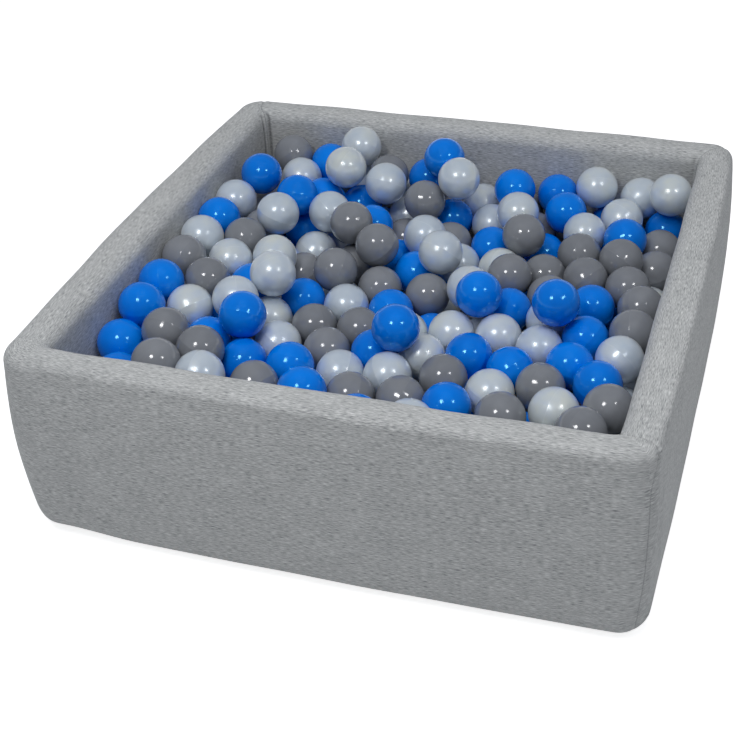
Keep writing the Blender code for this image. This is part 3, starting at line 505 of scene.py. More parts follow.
def wall_ring(sizes, name):
    """All four walls as one closed tube of cloth, from the front right corner round to it."""
    section = wall_section(sizes, sizes.bottom_rounding, sizes.top_rounding, sizes.swell)
    count = len(section)
    # How far each place of the outline faces up: there, the cloth runs straight to a sewn corner
    facing = [max(0, section[(index + 1) % count][0] - section[index - 1][0])
              / math.dist(section[(index + 1) % count], section[index - 1]) for index in range(count)]
    bm = bmesh.new()
    uv = bm.loops.layers.uv.new("Cloth")
    rings = []
    cloth = []
    start = 0
    for quarter in (1, 2, 3, 0):
        half = (sizes.width / 2, sizes.depth / 2) if quarter % 2 == 0 else (sizes.depth / 2, sizes.width / 2)
        for index, station in enumerate(wall_stations()):
            end, share, turn = station
            fan = (quarter, end) in FRONT_LEFT
            ring = []
            places = []
            outline = section_at(sizes, quarter, end, (1 - abs(share)) * (half[0] - sizes.corner))
            runs = outline_runs(outline)
            for place, (across, height) in enumerate(outline):
                corner = corner_radius(sizes, quarter, end, height)
                point = wall_point(sizes, corner, across, height, station, *half, quarter)
                along = end * (half[0] - corner + corner * turn) if fan and turn else point[0]
                bend = 0 if fan else (half[1] + point[1] - across) * facing[place]
                x, y, z = turned(point, quarter)
                ring.append((x, y, z + sizes.rim_rise * (0.5 + y / sizes.depth) * z / sizes.height))
                places.append((start + half[0] + along, runs[place] + bend))
            # A wall begins with the ring that the one before it ended with
            rings.append([bm.verts.new(point) for point in ring] if index or not rings else rings[-1])
            cloth.append([*places, (places[0][0], places[0][1] + runs[-1] - runs[0])])
        start += 2 * half[0]
    for vert in rings[-1]:
        bm.verts.remove(vert)
    rings[-1] = rings[0]
    for index in range(len(rings) - 1):
        if rings[index] is rings[index + 1]:
            continue
        for place in range(count):
            after = (place + 1) % count
            face = bm.faces.new((rings[index][place], rings[index][after],
                                 rings[index + 1][after], rings[index + 1][place]))
            corners = ((index, place), (index, place + 1), (index + 1, place + 1), (index + 1, place))
            for loop, (ring, column) in zip(face.loops, corners):
                loop[uv].uv = cloth[ring][column]
    bmesh.ops.recalc_face_normals(bm, faces=bm.faces)
    mesh = mesh_from(bm, name)
    shade_smooth(mesh)
    return mesh


def zip_zone(points, sizes):
    """One where the zip lies on the back wall, with a soft border round it."""
    beside = fade(np.abs(points[:, 0]), CHAIN_HIGH[0] + 10 * MM, CHAIN_HIGH[0] + 45 * MM)
    height = fade(points[:, 2], CHAIN_HIGH[2] + 8 * MM, CHAIN_HIGH[2] + 50 * MM)
    outside = fade(sizes.depth / 2 - points[:, 1], 20 * MM, 30 * MM)
    return beside * height * outside


def swell_cloth(item, sizes):
    """Blow the jersey up a little over its foam, held at its foot and its zip."""
    mesh = item.data
    before = points_of(mesh)
    held = item.vertex_groups.new(name="held")
    hold = np.maximum(fade(before[:, 2], 2 * MM, 40 * MM), zip_zone(before, sizes))
    least_hold = 0.05
    for index in np.nonzero(hold > least_hold)[0]:
        held.add([int(index)], float(hold[index]), "REPLACE")
    cloth = item.modifiers.new("Jersey", "CLOTH")
    for name, value in CLOTH_SETTINGS.items():
        setattr(cloth.settings, name, value)
    cloth.settings.vertex_group_mass = held.name
    cloth.settings.effector_weights.gravity = 0
    cloth.collision_settings.use_collision = False
    cloth.point_cache.frame_start = 1
    cloth.point_cache.frame_end = CLOTH_FRAMES
    scene = bpy.context.scene
    for step in range(1, CLOTH_FRAMES + 1):
        scene.frame_set(step)
    blown = item.evaluated_get(bpy.context.evaluated_depsgraph_get())
    after = points_of(blown.to_mesh())
    blown.to_mesh_clear()
    item.modifiers.clear()
    item.vertex_groups.clear()
    scene.frame_set(1)
    moved = after - before
    reach = np.linalg.norm(moved, axis=1, keepdims=True)
    moved *= np.minimum(1, sizes.slack / np.maximum(reach, 0.01 * MM))
    set_points(mesh, before + moved)


def seam_samples(item, sizes):
    """Each seam as close places on the jersey: point, way, way across, run, painted shade and pucker."""
    graph = bpy.context.evaluated_depsgraph_get()
    rows = []
    for right, back, pucker, stops in CORNER_SEAMS:
        stops = np.array(stops)
        corner = np.array((right * sizes.width / 2, back * sizes.depth / 2, sizes.height))
        inward = np.array((-right * sizes.wall, -back * sizes.wall, -MM))
        stops[:, :3] = corner + inward * stops[:, :3]
        along = np.concatenate(([0], np.cumsum(np.linalg.norm(np.diff(stops[:, :3], axis=0), axis=1))))
        runs = np.arange(0, along[-1], 1.5 * MM)
        path = np.array([np.interp(runs, along, column) for column in stops.T]).T
        # The path is rounded by a mean over nine places
        for column in range(3):
            path[4:-4, column] = np.convolve(path[:, column], np.ones(9) / 9, "valid")
        found = [item.closest_point_on_mesh(Vector(place[:3]), depsgraph=graph) for place in path]
        points = np.array([hit[1] for hit in found])
        ways = np.gradient(points, axis=0)
        ways /= np.linalg.norm(ways, axis=1, keepdims=True)
        across = -right * back * np.cross([hit[2] for hit in found], ways)
        puckers = np.full(len(runs), pucker * MM)
        rows.append(np.column_stack((points, ways, across, runs, path[:, 3], puckers)))
    return np.concatenate(rows)


def shape_jersey(item, sizes):
    """Seams, puckers, inner folds and the slight waviness of cloth over cut foam."""
    mesh = item.data
    points = points_of(mesh)
    normals = np.array([vert.normal for vert in mesh.vertices])
    flat = 1 - np.maximum(zip_zone(points, sizes), fade(points[:, 2], 1 * MM, 12 * MM))
    x, y, z = points.T
    top = fade(sizes.height - z, sizes.top_rounding * 0.6, sizes.top_rounding * 1.6)
    # Three crossing waves, in radians per metre
    wave = (0.9 * np.sin((x + 0.7 * y) * 23 + 0.6) + 0.6 * np.sin((x - y) * 37 + 1.9)
            + 0.5 * np.sin(z * 41 + x * 9 - y * 13))
    move = 0.45 * MM * wave * flat * (0.6 + 0.7 * top)
    # The covers are drawn together at a seam, and the cloth puckers beside it
    groove_width = 3.2 * MM
    pucker_length = 8.5 * MM
    pucker_reach = 12 * MM
    samples = seam_samples(item, sizes)
    finder = KDTree(len(samples))
    for index, sample in enumerate(samples):
        finder.insert(sample[:3], index)
    finder.balance()
    hits = [finder.find(point) for point in points]
    nearest = samples[[hit[1] for hit in hits]]
    apart = np.array([hit[2] for hit in hits])
    run, groove_shade, pucker = nearest[:, 9:].T
    offset = points - nearest[:, :3]
    gap = (offset * nearest[:, 6:9]).sum(axis=1)
    along = run + (offset * nearest[:, 3:6]).sum(axis=1)
    groove = np.exp(-(gap / groove_width) ** 2) * (0.35 + 0.65 * top)
    ripples = np.sin(along * 2 * math.pi / pucker_length + 1.5 * np.sin(along * 160))
    gathers = ripples * np.exp(-np.abs(gap) / pucker_reach) * (0.15 + 0.85 * top)
    move = move + flat * fade(apart, 15 * MM, 35 * MM) * (pucker * gathers - sizes.seam_depth * groove)
    # The jersey folds in two lines down the back left inner corner, and softly in the others
    below = fade(z, sizes.height - 0.5 * sizes.top_rounding, sizes.height)
    below = below * (1 - fade(z, MAT_HIGH[2], MAT_HIGH[2] + 30 * MM))
    # The shade in each fold's valleys is painted into the cloth's colour by way of fold_shade
    shade = np.zeros(len(points))
    for right, back, depth in INNER_FOLDS:
        side_x = sizes.width / 2 - right * x
        side_y = sizes.depth / 2 - back * y
        middle = np.abs(side_x - side_y) / math.sqrt(2)
        inside = ((np.minimum(side_x, side_y) > sizes.wall - 3 * MM)
                  & (np.maximum(side_x, side_y) < sizes.wall + 30 * MM))
        valley = np.exp(-((middle - 5 * MM) / (1.6 * MM)) ** 2)
        ridge = np.exp(-(middle / (2.5 * MM)) ** 2)
        move = move - inside * below * depth * MM * (valley - 0.5 * ridge)
        shade = np.maximum(shade, 0.14 * depth * inside * below * valley)
    set_points(mesh, points + normals * move[:, None])
    keep_attribute(mesh, "seam_gap", gap)
    # The dark line along each seam is painted shade, for the groove that the seam draws in
    keep_attribute(mesh, "seam_line", groove_shade * fade(apart, 8 * MM, 15 * MM))
    keep_attribute(mesh, "fold_shade", shade)


class PIT_OT_wall_cover(bpy.types.Operator):
    """Sew the jersey cover round the four foam walls"""

    bl_idname = "ball_pit.wall_cover"
    bl_label = "Wall cover"

    def execute(self, context):
        sizes = context.scene.ball_pit_sizes
        jersey = jersey_material(context.scene.ball_pit_colours)
        item = mesh_object("wall_cover", wall_ring(sizes, "wall_cover"), jersey)
        swell_cloth(item, sizes)
        refine(item)
        shape_jersey(item, sizes)
        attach(item, "pit")
        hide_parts(*["cover_" + side for side in SIDES], *["foam_" + side for side in SIDES])
        return {"FINISHED"}


class PIT_OT_floor_mat(bpy.types.Operator):
    """Lay the covered foam mat on the floor inside the walls"""

    bl_idname = "ball_pit.floor_mat"
    bl_label = "Floor mat"

    def execute(self, context):
        bm = bmesh.new()
        bmesh.ops.create_cube(bm, size=1)
        bmesh.ops.subdivide_edges(bm, edges=bm.edges, cuts=MAT_CUTS, use_grid_fill=True)
        for vert in bm.verts:
            vert.co.x *= MAT_HIGH[0] - MAT_LOW[0]
            vert.co.y *= MAT_HIGH[1] - MAT_LOW[1]
            vert.co.z = (vert.co.z + 0.5) * MAT_HIGH[2]
        mesh = mesh_from(bm, "floor_mat_cover")
        item = mesh_object("floor_mat_cover", mesh, bpy.data.materials["Melange cotton jersey"])
        # The mat thins by nearly half over its soft edge, and its sides bulge
        soft_edge = 12 * MM
        bulge = 5 * MM
        points = points_of(mesh)
        edge = np.minimum(MAT_HIGH[0] - np.abs(points[:, 0]), MAT_HIGH[1] - np.abs(points[:, 1]))
        side = np.clip(1 - edge / soft_edge, 0, 1)
        middle = MAT_HIGH[2] / 2
        height = points[:, 2] - middle
        points[:, 2] = middle + height * (1 - 0.45 * side * side)
        inward = 1 - bulge / MAT_HIGH[0] * (np.abs(height) / middle) ** 4
        points[:, :2] *= inward[:, None]
        set_points(mesh, points)
        cloth_uv = mesh.uv_layers.new(name="Cloth")
        places = points[[loop.vertex_index for loop in mesh.loops]]
        cloth_uv.data.foreach_set("uv", np.ascontiguousarray(places[:, :2], np.float32).ravel())
        refine(item)
        shade_smooth(item.data)
        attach(item, "pit")
        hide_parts("mat_cover", "mat_foam")
        return {"FINISHED"}


# The zip


def shade_of(colour, share):
    """The colour, darker or lighter by a share."""
    return [min(1, share * part) for part in colour[:3]] + [1]


def tape_material(colours):
    """Woven polyester zip tape: a fine rib across it, and a dry, even sheen."""
    made, node = new_material("Woven polyester tape")
    rib = 0.9 * MM
    place = node("ShaderNodeTexCoord").outputs["Object"]
    # At scale 1, the bands of a wave texture are 0.314 m apart
    wave = node("ShaderNodeTexWave", {"Vector": place, "Scale": 0.314 / rib, "Distortion": 0.6},
                bands_direction="X").outputs["Fac"]
    speckle = node("ShaderNodeTexNoise", {"Vector": place, "Scale": 1 / (3 * MM), "Detail": 3.0})
    shade = node("ShaderNodeMix", {"Factor": 0.5, "A": wave, "B": speckle})
    ramp = node("ShaderNodeValToRGB", {"Fac": shade},
                stops=((0, shade_of(colours.tape, 0.7)), (1, colours.tape)))
    bump = node("ShaderNodeBump", {"Height": wave, "Strength": 0.5, "Distance": 0.15 * MM})
    shader = node("ShaderNodeBsdfPrincipled", {"Base Color": ramp, "Roughness": 0.85, "Normal": bump,
                                               "Sheen Weight": 0.2})
    node("ShaderNodeOutputMaterial", {"Surface": shader})
    return made


def nylon_material(colours):
    """Monofilament nylon: the coil's smooth, slightly clear thread, its tone varying a little at random."""
    made, node = new_material("Nylon monofilament")
    place = node("ShaderNodeTexCoord").outputs["Object"]
    noise = node("ShaderNodeTexNoise", {"Vector": place, "Scale": 1 / (8 * MM), "Detail": 2.0})
    ramp = node("ShaderNodeValToRGB", {"Fac": noise},
                stops=((0, shade_of(colours.tape, 0.75)), (1, shade_of(colours.tape, 1.15))))
    shader = node("ShaderNodeBsdfPrincipled", {"Base Color": ramp, "Roughness": 0.35, "IOR": 1.53})
    node("ShaderNodeOutputMaterial", {"Surface": shader})
    return made


def zinc_material(colours):
    """Die-cast zinc with a grey lacquer: satin, with small cloudy wear."""
    made, node = new_material("Lacquered die-cast zinc")
    place = node("ShaderNodeTexCoord").outputs["Object"]
    cloud = node("ShaderNodeTexNoise", {"Vector": place, "Scale": 1 / (4 * MM), "Detail": 4.0})
    ramp = node("ShaderNodeValToRGB", {"Fac": cloud},
                stops=((0, shade_of(colours.metal, 0.8)), (1, colours.metal)))
    worn = node("ShaderNodeMapRange", {"Value": cloud, "To Min": 0.28, "To Max": 0.45})
    shader = node("ShaderNodeBsdfPrincipled", {"Base Color": ramp, "Roughness": worn, "Metallic": 0.85})
    node("ShaderNodeOutputMaterial", {"Surface": shader})
    return made


def copies_tree():
    """A Geometry Nodes tree that sets a template on each point, turned by the point's own spin."""
    tree = bpy.data.node_groups.new(COPIES, "GeometryNodeTree")
    for name, kind in (("Geometry", "Geometry"), ("Template", "Object"), ("Finish", "Material")):
        tree.interface.new_socket(name, in_out="INPUT", socket_type="NodeSocket" + kind)
    tree.interface.new_socket("Geometry", in_out="OUTPUT", socket_type="NodeSocketGeometry")
    node = partial(add_node, tree)
    given = node("NodeGroupInput").outputs
    template = node("GeometryNodeObjectInfo", {"Object": given["Template"]})
    spin = node("GeometryNodeInputNamedAttribute", {"Name": "spin"}, data_type="FLOAT_VECTOR")
    turn = node("FunctionNodeEulerToRotation", {"Euler": spin})
    placed = node("GeometryNodeInstanceOnPoints",
                  {"Points": given["Geometry"], "Instance": template.outputs["Geometry"],
                   "Rotation": turn})
    real = node("GeometryNodeRealizeInstances", {"Geometry": placed})
    finish = node("GeometryNodeSetMaterial", {"Geometry": real, "Material": given["Finish"]})
    node("NodeGroupOutput", {"Geometry": finish})
    return tree


def spun_points(name, places, spins):
    """A mesh of loose points, each with the spin that its copy is turned by."""
    points = bpy.data.meshes.new(name)
    points.from_pydata([tuple(place) for place in places], [], [])
    keep_attribute(points, "spin", spins)
    return points


def copies(points, template, material):
    """A piece of the template's copies, one on each of the mesh's points."""
    item = mesh_object(points.name, points)
    grower = item.modifiers.new("Grow", "NODES")
    grower.node_group = bpy.data.node_groups.get(COPIES) or copies_tree()
    sockets = {socket.name: socket.identifier for socket in grower.node_group.interface.items_tree
               if socket.in_out == "INPUT"}
    grower[sockets["Template"]] = template
    grower[sockets["Finish"]] = material
    settle(item)
    return item


def zip_row(name, template, material, start, pace, count):
    """A piece of the template's copies, in a straight row along the zip."""
    places = [(start[0] + index * pace, start[1], start[2]) for index in range(count)]
    return copies(spun_points(name, places, np.zeros((count, 3))), template, material)


def back_face(sizes, height):
    """Y of the back wall's outer face at a height."""
    low = sizes.bottom_rounding
    high = sizes.height - sizes.top_rounding
    share = (2 * height - low - high) / (high - low)
    return sizes.depth / 2 - sizes.zip_swell * share * share


def tape_face(sizes, height):
    """Y of the zip tape's outer face at a height."""
    return back_face(sizes, height) + SEAT_GAP + TAPE_THICKNESS


def zip_tape_mesh(sizes):
    """The tape, woven edge to woven edge, on the back wall's bowed face."""
    heights = np.linspace(CHAIN_LOW[2], CHAIN_HIGH[2], 13)
    bm = bmesh.new()
    rows = []
    for x in np.linspace(CHAIN_LOW[0], CHAIN_HIGH[0], 75):
        row = [(x, back_face(sizes, z) + SEAT_GAP, z) for z in heights]
        row += [(x, tape_face(sizes, z), z) for z in heights[::-1]]
        rows.append([bm.verts.new(point) for point in row])
    count = len(rows[0])
    for one, two in zip(rows, rows[1:]):
        for index in range(count):
            after = (index + 1) % count
            bm.faces.new((one[index], one[after], two[after], two[index]))
    bm.faces.new(rows[0])
    bm.faces.new(rows[-1])
    bmesh.ops.recalc_face_normals(bm, faces=bm.faces)
    return mesh_from(bm, "zip_tape")


def bead(name, segments, rings, half_sizes):
    """A long round bead, by its half sizes in millimetres: a turn of the zip's coil, or a stitch."""
    bm = bmesh.new()
    bmesh.ops.create_uvsphere(bm, u_segments=segments, v_segments=rings, radius=1)
    bmesh.ops.scale(bm, vec=[size * MM for size in half_sizes], verts=bm.verts)
    mesh = mesh_from(bm, name)
    shade_smooth(mesh)
    return mesh_object(name, mesh)


class PIT_OT_zip(bpy.types.Operator):
    """Set the zip into the back of the cover"""

    bl_idname = "ball_pit.zip"
    bl_label = "Zip"

    def execute(self, context):
        sizes = context.scene.ball_pit_sizes
        colours = context.scene.ball_pit_colours
        tape = mesh_object("zip_tape", zip_tape_mesh(sizes), tape_material(colours))
        shade_smooth(tape.data)
        tape.data.set_sharp_from_angle(angle=math.radians(40))
        nylon = nylon_material(colours)
        pieces = [tape]
        middle = (CHAIN_LOW[2] + CHAIN_HIGH[2]) / 2
        span = CHAIN_HIGH[0] - CHAIN_LOW[0]
        # The coil and the stitches end a little before the tape does
        link = bead("coil_link", 8, 6, (0.62, 0.95, 2.3))
        for name, rise, shift in (("zip_coil_upper", 0.55 * MM, 2), ("zip_coil_lower", -0.55 * MM, 2.5)):
            start = (CHAIN_LOW[0] + shift * COIL_PITCH, tape_face(sizes, middle) + 0.9 * MM, middle + rise)
            pieces.append(zip_row(name, link, nylon, start, COIL_PITCH, int(span / COIL_PITCH) - 4))
        stitch = bead("stitch", 6, 4, (1.5, 0.35, 0.35))
        for name, rise in (("zip_stitches_upper", 9.5 * MM), ("zip_stitches_lower", -9.5 * MM)):
            height = middle + rise
            start = (CHAIN_LOW[0] + STITCH_PACE, tape_face(sizes, height) + 0.05 * MM, height)
            pieces.append(zip_row(name, stitch, nylon, start, STITCH_PACE, int(span / STITCH_PACE) - 1))
        bpy.data.objects.remove(link)
        bpy.data.objects.remove(stitch)
        for piece in pieces:
            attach(piece, "pit")
            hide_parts("zip_chain")
        zinc = zinc_material(colours)
        for name in ("zip_slider", "zip_pull"):
            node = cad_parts[name]
            node.data.materials.clear()
            node.data.materials.append(zinc)
        return {"FINISHED"}


# The balls


def ball_material(name, code, look):
    """Blow-moulded polyethylene: a thin glossy skin with a faint line where the mould's halves
    met. The line is read in the ball's own directions, kept in the ball_side attribute."""
    made, node = new_material(name)
    side = node("ShaderNodeAttribute", attribute_name="ball_side").outputs["Vector"]
    tint = node("ShaderNodeAttribute", attribute_name="ball_tint").outputs["Fac"]
    cloud = node("ShaderNodeTexNoise", {"Vector": side, "Scale": look["cloud"], "Detail": 2.0})
    mixed = node("ShaderNodeMix", {"Factor": 0.5, "A": cloud, "B": tint})
    ramp = node("ShaderNodeValToRGB", {"Fac": mixed},
                stops=((0.3, srgb(look["deep"])), (0.5, code), (0.7, srgb(look["pale"]))))
    height = node("ShaderNodeSeparateXYZ", {"Vector": side}).outputs["Z"]
    away = node("ShaderNodeMath", {0: height}, operation="ABSOLUTE")
    line = node("ShaderNodeMapRange", {"Value": away, "From Min": 0.004, "From Max": 0.014,
                                       "To Min": look["line"], "To Max": 0.0},
                interpolation_type="SMOOTHSTEP")
    lined = node("ShaderNodeMix", {"Factor": line, "A": ramp, "B": srgb(look["seam"])}, data_type="RGBA")
    scuff = node("ShaderNodeTexNoise", {"Vector": side, "Scale": 9.0, "Detail": 4.0})
    rough = node("ShaderNodeMapRange", {"Value": scuff, "To Min": look["rough"][0],
                                        "To Max": look["rough"][1]})
    shader = node("ShaderNodeBsdfPrincipled",
                  {"Base Color": lined.outputs[2], "Roughness": rough, "IOR": 1.51, **look["skin"]})
    node("ShaderNodeOutputMaterial", {"Surface": shader})
    return made


def ball_materials(colours):
    """The three colours. The pearl one has mica flakes in clear plastic, which give a wide soft
    glow under a sharp gloss."""
    plain = {"cloud": 1.2, "line": 0.14, "rough": (0.10, 0.17)}
    looks = {
        "blue": dict(plain, deep="#006FD8", pale="#0081F0", seam="#2C8EE8",
                     skin={"Specular IOR Level": 0.72, "Specular Tint": (0.35, 0.9, 1, 1)}),
        "grey": dict(plain, deep="#75787E", pale="#86898F", seam="#999CA1",
                     skin={"Specular IOR Level": 0.85}),
        "pearl": dict(deep="#C6D2DF", pale="#DEE3E0", seam="#EEF3F6", line=0.4, cloud=1.6, rough=(0.29, 0.35),
                      skin={"Specular IOR Level": 1.0, "Metallic": 0.2, "Coat Weight": 1.0,
                            "Coat Roughness": 0.18, "Sheen Weight": 0.3, "Sheen Roughness": 0.3,
                            "Subsurface Weight": 0.9, "Subsurface Radius": (1, 1, 1),
                            "Subsurface Scale": 20 * MM}),
    }
    return {name: ball_material(name.title() + " polyethylene", getattr(colours, name), looks[name])
            for name in COLOURS}


def view_axes():
    """The viewpoint's right, up and ahead directions."""
    turn, down, roll = (math.radians(degrees) for degrees in VIEW_TURNS_DEGREES)
    ahead = np.array((math.sin(turn) * math.cos(down), math.cos(turn) * math.cos(down), -math.sin(down)))
    level = np.array((math.cos(turn), -math.sin(turn), 0))
    upright = np.cross(level, ahead)
    right = math.cos(roll) * level + math.sin(roll) * upright
    up = math.cos(roll) * upright - math.sin(roll) * level
    return right, up, ahead


def sight_lines(rows, sizes):
    """The viewpoint, the balls' directions from it, their distances and their first places."""
    right, up, ahead = view_axes()
    across, down, radius = np.array([row[1:] for row in rows]).T
    across = (across - VIEW_CENTRE_PIXELS[0]) / VIEW_FOCAL_PIXELS
    above = (VIEW_CENTRE_PIXELS[1] - down) / VIEW_FOCAL_PIXELS
    radius = radius / VIEW_FOCAL_PIXELS
    lines = across[:, None] * right + above[:, None] * up + ahead
    stretch = np.linalg.norm(lines, axis=1)
    lines = lines / stretch[:, None]
    eye = np.array(VIEW_PLACE_SHARES) * sizes.ball
    by_size = sizes.ball / 2 * stretch / radius
    slope = np.array(HEAP_SLOPE_SHARES)
    drop = HEAP_SURFACE_SHARE * sizes.ball + eye[:2] @ slope - eye[2]
    by_surface = drop / (lines[:, 2] - lines[:, :2] @ slope)
    reach = HEAP_SIZE_TRUST * by_size + (1 - HEAP_SIZE_TRUST) * by_surface
    seen = np.array((VIEW_OPENING_SHARE, VIEW_OPENING_SHARE, VIEW_RIM_SHARE)) * sizes.ball
    inner = (sizes.width / 2 - sizes.wall, sizes.depth / 2 - sizes.wall, sizes.height)
    fit = np.array(inner) / seen
    places = (eye + lines * reach[:, None]) * fit
    eye = eye * fit
    lines = places - eye
    reach = np.linalg.norm(lines, axis=1)
    return eye, lines / reach[:, None], reach, places


def push_apart(places, sizes):
    """One round of pushing crowded balls apart, inside the walls."""
    spacing = sizes.ball + SEAT_GAP
    between = places[:, None] - places[None]
    apart = np.linalg.norm(between, axis=2)
    np.fill_diagonal(apart, 2 * spacing)
    crowd = np.clip(spacing - apart, 0, None)
    places = places + (between * (crowd / apart / 2)[..., None]).sum(axis=1)
    inner = np.array((sizes.width, sizes.depth)) / 2 - sizes.wall
    limit = inner - sizes.ball / 2 - SEAT_GAP
    places[:, :2] = np.clip(places[:, :2], -limit, limit)
    return places, crowd.max()


def heap_layout(rows, sizes):
    """Middles of the balls that show: near their sight lines, with no two crowded."""
    eye, lines, reach, places = sight_lines(rows, sizes)
    lowest = MAT_HIGH[2] + sizes.ball
    for _ in range(HEAP_SIGHT_ROUNDS):
        along = ((places - eye) * lines).sum(axis=1)
        places = places + HEAP_SIGHT_PULL * (eye + lines * along[:, None] - places)
        places = places + HEAP_DEPTH_PULL * (reach - along)[:, None] * lines
        places, crowd = push_apart(places, sizes)
        places[:, 2] = np.maximum(places[:, 2], lowest)
    rounds = 0
    while rounds < HEAP_REST_ROUNDS or (crowd > SEAT_GAP / 3 and rounds < HEAP_EXTRA_ROUNDS):
        places, crowd = push_apart(places, sizes)
        places[:, 2] = np.maximum(places[:, 2], lowest)
        rounds += 1
    return places


def heap_levels(grid, balls, sizes):
    """Mean height, at each place, of the middles of the balls close by."""
    gaps = ((grid[:, None] - balls[None, :, :2]) ** 2).sum(axis=2)
    reach = HEAP_REACH_SHARE * sizes.ball / 2
    weight = np.exp(-(gaps - gaps.min(axis=1, keepdims=True)) / (2 * reach ** 2))
    return (weight * balls[:, 2]).sum(axis=1) / weight.sum(axis=1)


def highest_beside(grid, ball, sizes):
    """How high a second ball's middle can be at each place, under one that is already there."""
    apart = np.linalg.norm(grid - ball[:2], axis=1)
    drop = np.sqrt(np.maximum(sizes.ball ** 2 - apart ** 2, 0))
    return np.where(apart < sizes.ball, ball[2] - drop, sizes.height)


def lower_layout(upper, sizes):
    """Middles of the balls under the upper ones, each as high as it fits, down to the mat.
    The first ones show in the gaps, and their number comes with them."""
    radius = sizes.ball / 2
    half = np.array((sizes.width, sizes.depth)) / 2 - sizes.wall - radius - SEAT_GAP
    columns, rows = (np.linspace(-size, size, LOWER_GRID) for size in half)
    grid = np.array([(x, y) for y in rows for x in columns])
    level = heap_levels(grid, upper, sizes)
    depth = np.full(len(grid), LOWER_DROP_SHARE * radius)
    for ball in upper:
        depth = np.maximum(depth, level - highest_beside(grid, ball, sizes))
    lower = []
    seen = 0
    while True:
        free = np.where(level - depth > MAT_HIGH[2] + radius, depth, sizes.height)
        best = int(np.argmin(free))
        if free[best] == sizes.height:
            return np.array(lower), seen
        seen += depth[best] < LOWER_SEEN_SHARE * radius
        lower.append((grid[best, 0], grid[best, 1], level[best] - depth[best]))
        depth = np.maximum(depth, level - highest_beside(grid, lower[-1], sizes))


def ball_mesh(name, radius, ridge, vent, segments, steps):
    """A ball turned from its outline: a mould line round its middle and a filled vent at a pole."""
    near_line = math.radians(1.3)
    spread = list(np.linspace(near_line, QUARTER, steps + 1)[1:])
    turns = sorted([-turn for turn in spread] + [-near_line, 0, near_line] + spread)
    outline = []
    for turn in turns:
        reach = radius + (ridge if turn == 0 else 0) - (vent if turn == turns[-1] else 0)
        outline.append((reach * math.cos(turn), 0, reach * math.sin(turn)))
    bm = bmesh.new()
    verts = [bm.verts.new(point) for point in outline]
    edges = [bm.edges.new(pair) for pair in zip(verts, verts[1:])]
    bmesh.ops.spin(bm, geom=verts + edges, cent=(0, 0, 0), axis=(0, 0, 1), angle=4 * QUARTER,
                   steps=segments, use_merge=True)
    bmesh.ops.remove_doubles(bm, verts=bm.verts, dist=0.01 * MM)
    bmesh.ops.recalc_face_normals(bm, faces=bm.faces)
    mesh = mesh_from(bm, name)
    shade_smooth(mesh)
    keep_attribute(mesh, "ball_side", points_of(mesh) / radius)
    return mesh


def heap_piece(name, places, draw, template, material):
    """Balls of one colour in the heap, each turned and tinted by chance."""
    points = spun_points(name, places, draw.uniform(0, 4 * QUARTER, (len(places), 3)))
    keep_attribute(points, "ball_tint", draw.uniform(0.3, 0.7, len(places)))
    item = copies(points, template, material)
    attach(item, "pit")
    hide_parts("ball_heap")


class PIT_OT_heap(bpy.types.Operator):
    """Fill the pit with the balls that lie fixed in the heap"""

    bl_idname = "ball_pit.heap"
    bl_label = "Heap of balls"

    def execute(self, context):
        sizes = context.scene.ball_pit_sizes
        materials = ball_materials(context.scene.ball_pit_colours)
        radius = sizes.ball / 2
        places = heap_layout(LOOSE_BALLS + HEAP_BALLS, sizes)
        fixed = places[len(LOOSE_BALLS):]
        lower, seen = lower_layout(places, sizes)
        draw = np.random.default_rng(SPIN_SEED)
        ball = ball_mesh("upper_ball", radius, sizes.ridge, 0, *HEAP_BALL_STEPS)
        upper_ball = mesh_object("upper_ball", ball)
        ball = ball_mesh("lower_ball", radius, 0, 0, *LOWER_BALL_STEPS)
        lower_ball = mesh_object("lower_ball", ball)
        for index, name in enumerate(COLOURS):
            top = [place for row, place in zip(HEAP_BALLS, fixed) if row[0] == name]
            below = lower[index::len(COLOURS)]
            shown = (seen + len(COLOURS) - 1 - index) // len(COLOURS)
            heap_piece("heap_balls_" + name, [*top, *below[:shown]], draw, upper_ball, materials[name])
            heap_piece("lower_balls_" + name, below[shown:], draw, lower_ball, materials[name])
        bpy.data.objects.remove(upper_ball)
        bpy.data.objects.remove(lower_ball)
        return {"FINISHED"}


class PIT_OT_loose_balls(bpy.types.Operator):
    """Put each loose ball on top of the heap"""

    bl_idname = "ball_pit.loose_balls"
    bl_label = "Loose balls"

    def execute(self, context):
        sizes = context.scene.ball_pit_sizes
        draw = np.random.default_rng(SPIN_SEED + 1)
        for index, row in enumerate(LOOSE_BALLS):
            node = "ball_%02d_%s" % (index + 1, row[0])
            low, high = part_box(node)
            mesh = ball_mesh("loose_" + node, sizes.ball / 2, sizes.ridge, sizes.vent, *LOOSE_BALL_STEPS)
            keep_attribute(mesh, "ball_tint", np.full(len(mesh.vertices), draw.uniform(0.3, 0.7)))
            spin = Euler(draw.uniform(0, 4 * QUARTER, 3)).to_matrix().to_4x4()
            spin.translation = (low + high) / 2
            mesh.transform(spin)
            item = mesh_object("loose_" + node, mesh, bpy.data.materials[row[0].title() + " polyethylene"])
            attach(item, node)
            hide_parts(node)
        return {"FINISHED"}


# The stage


def looked_at(node):
    """One for a ray from the camera, by way of a reflection or through something clear too."""
    rays = node("ShaderNodeLightPath").outputs
    seen = node("ShaderNodeMath", {0: rays["Is Camera Ray"], 1: rays["Is Glossy Ray"]},
                operation="MAXIMUM")
    return node("ShaderNodeMath", {0: seen, 1: rays["Is Transmission Ray"]}, operation="MAXIMUM")


